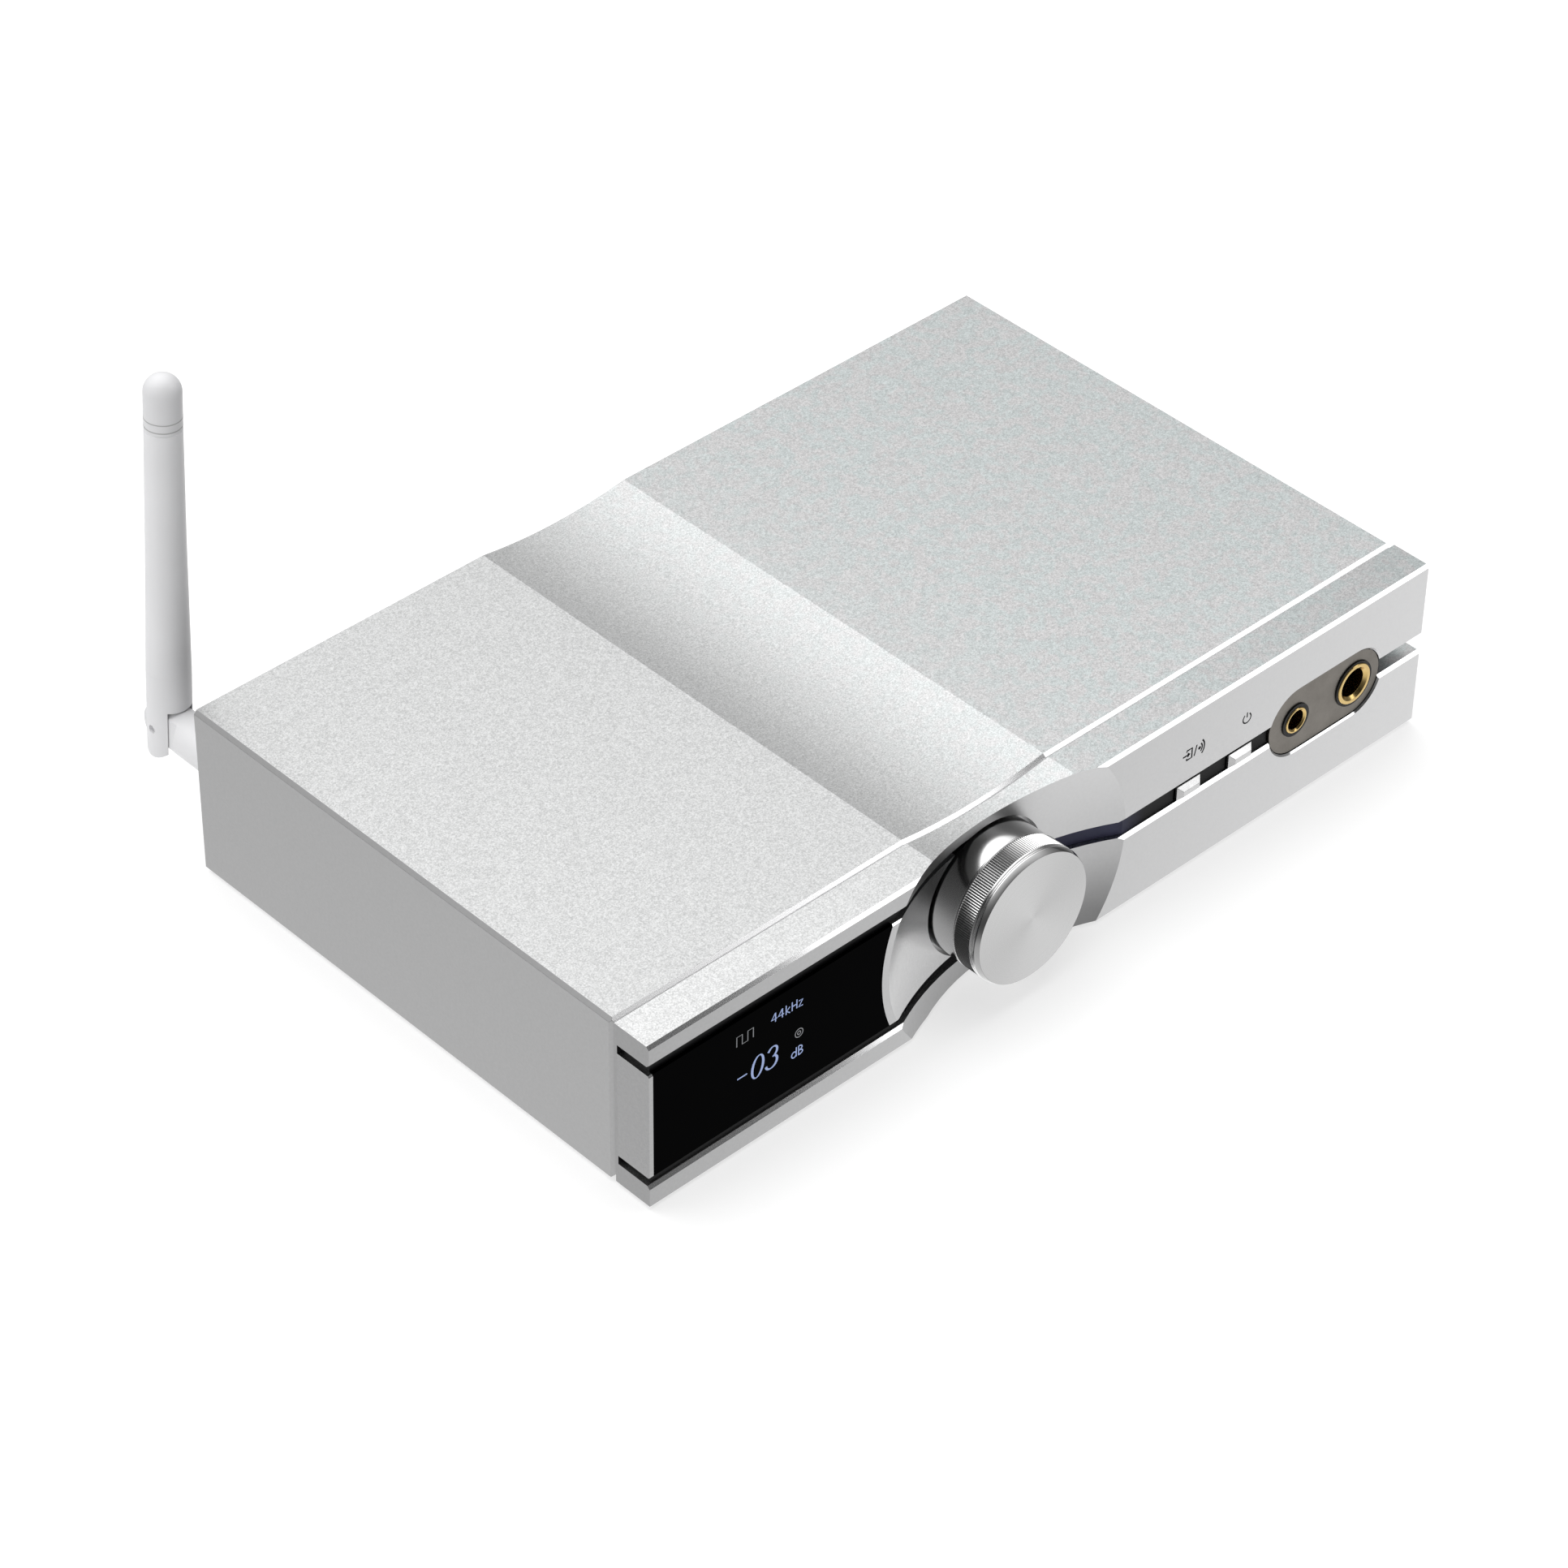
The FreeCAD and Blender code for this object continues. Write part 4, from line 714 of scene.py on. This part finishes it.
def add_camera():
    data = bpy.data.cameras.new("view")
    data.sensor_width = SENSOR
    data.lens = LENS
    data.clip_start, data.clip_end = 0.01, 20
    camera = bpy.data.objects.new("view", data)
    bpy.context.scene.collection.objects.link(camera)
    up = RIGHT.cross(FORWARD).normalized()
    turn = Matrix((RIGHT, up, -FORWARD)).transposed()
    camera.matrix_world = Matrix.Translation(EYE) @ turn.to_4x4()
    bpy.context.scene.camera = camera


def area_light(name, place, target, size, power, in_reflections=True):
    data = bpy.data.lights.new(name, "AREA")
    data.shape = "RECTANGLE"
    data.size, data.size_y = size
    data.energy = power
    lamp = bpy.data.objects.new(name, data)
    bpy.context.scene.collection.objects.link(lamp)
    lamp.visible_glossy = in_reflections
    lamp.location = place
    lamp.rotation_mode = "QUATERNION"
    lamp.rotation_quaternion = (Vector(target) - Vector(place)).to_track_quat("-Z", "Y")


# Brightness of the studio against the height of a direction: pale below, dim at eye level, bright overhead.
TENT = ((-1.0, 1.3), (-0.75, 1.12), (-0.55, 1.0), (-0.4, 0.7), (-0.25, 0.4), (-0.05, 0.2), (0.12, 0.2),
        (0.3, 0.3), (0.48, 0.5), (0.62, 0.78), (0.8, 1.15), (1.0, 1.3))
TENT_ACROSS, TENT_BACK = 0.2, 2.3333  # how much brighter towards the right, and overhead at the back
TENT_LEAST = 0.1


def add_world():
    """A studio tent, brightest overhead at the back and a little brighter on the right."""
    world = bpy.data.worlds.new("studio")
    world.use_nodes = True
    tree = world.node_tree

    def calc(operation, first, second):
        made = tree.nodes.new("ShaderNodeMath")
        made.operation = operation
        for socket, value in zip(made.inputs, (first, second)):
            if isinstance(value, bpy.types.NodeSocket):
                tree.links.new(value, socket)
            else:
                socket.default_value = value
        return made.outputs[0]

    split = tree.nodes.new("ShaderNodeSeparateXYZ")
    tree.links.new(tree.nodes.new("ShaderNodeTexCoord").outputs["Generated"], split.inputs[0])
    x, y, z = split.outputs
    curve = tree.nodes.new("ShaderNodeFloatCurve")
    tree.links.new(calc("MULTIPLY", calc("ADD", z, 1.0), 0.5), curve.inputs["Value"])
    points = curve.mapping.curves[0].points
    top = max(level for _, level in TENT)
    while len(points) < len(TENT):
        points.new(0.5, 0.5)
    for point, (height, level) in zip(points, TENT):
        point.location = ((height + 1) / 2, level / top)
    curve.mapping.update()
    over = calc("MAXIMUM", z, 0.0)
    back = calc("MULTIPLY", calc("MULTIPLY", y, over), TENT_BACK)
    across = calc("MULTIPLY", x, TENT_ACROSS)
    slope = calc("MAXIMUM", calc("ADD", calc("ADD", across, back), 1.0), TENT_LEAST)
    level = calc("MULTIPLY", curve.outputs[0], calc("MULTIPLY", slope, top))
    background = tree.nodes["Background"]
    tree.links.new(level, background.inputs["Strength"])
    background.inputs["Color"].default_value = (1, 1, 1, 1)
    bpy.context.scene.world = world


FLOOR_HALF = 6.0
FLOOR_GREYS = (0.42, 0.42, 0.42), (0.43, 0.43, 0.43)
FLOOR_GLOW = 0.6


def add_floor():
    """Pale floor lit from below; polished metal reflects the tent instead of it."""
    mesh = bpy.data.meshes.new("floor")
    corners = [(x * FLOOR_HALF, y * FLOOR_HALF, 0) for x, y in ((-1, -1), (1, -1), (1, 1), (-1, 1))]
    mesh.from_pydata(corners, [], [(0, 1, 2, 3)])
    floor = bpy.data.objects.new("floor", mesh)
    bpy.context.scene.collection.objects.link(floor)
    floor.visible_glossy = False
    m = Mat("floor", FLOOR_GREYS[0], 0.0, 0.9)
    m.shader.inputs["Specular IOR Level"].default_value = 0.0
    m.link(m.mix(m.noise(3, 1), *FLOOR_GREYS), "Base Color")
    m.shader.inputs["Emission Color"].default_value = (1, 1, 1, 1)
    m.shader.inputs["Emission Strength"].default_value = FLOOR_GLOW
    mesh.materials.append(m.mat)


add_camera()
add_world()
add_floor()
area_light("front_right", (1.06, -1.04, 0.95), (0, 0, 0.02), (0.57, 0.6), 2.4)
area_light("overhead", (0.0, 0.3, 2.2), (0, 0, 0), (2.0, 2.0), 24, False)
area_light("left_fill", (-1.2, -0.5, 0.7), (-0.1, 0.08, 0.06), (0.7, 0.7), 5, False)
bpy.context.scene.view_settings.view_transform = "Standard"
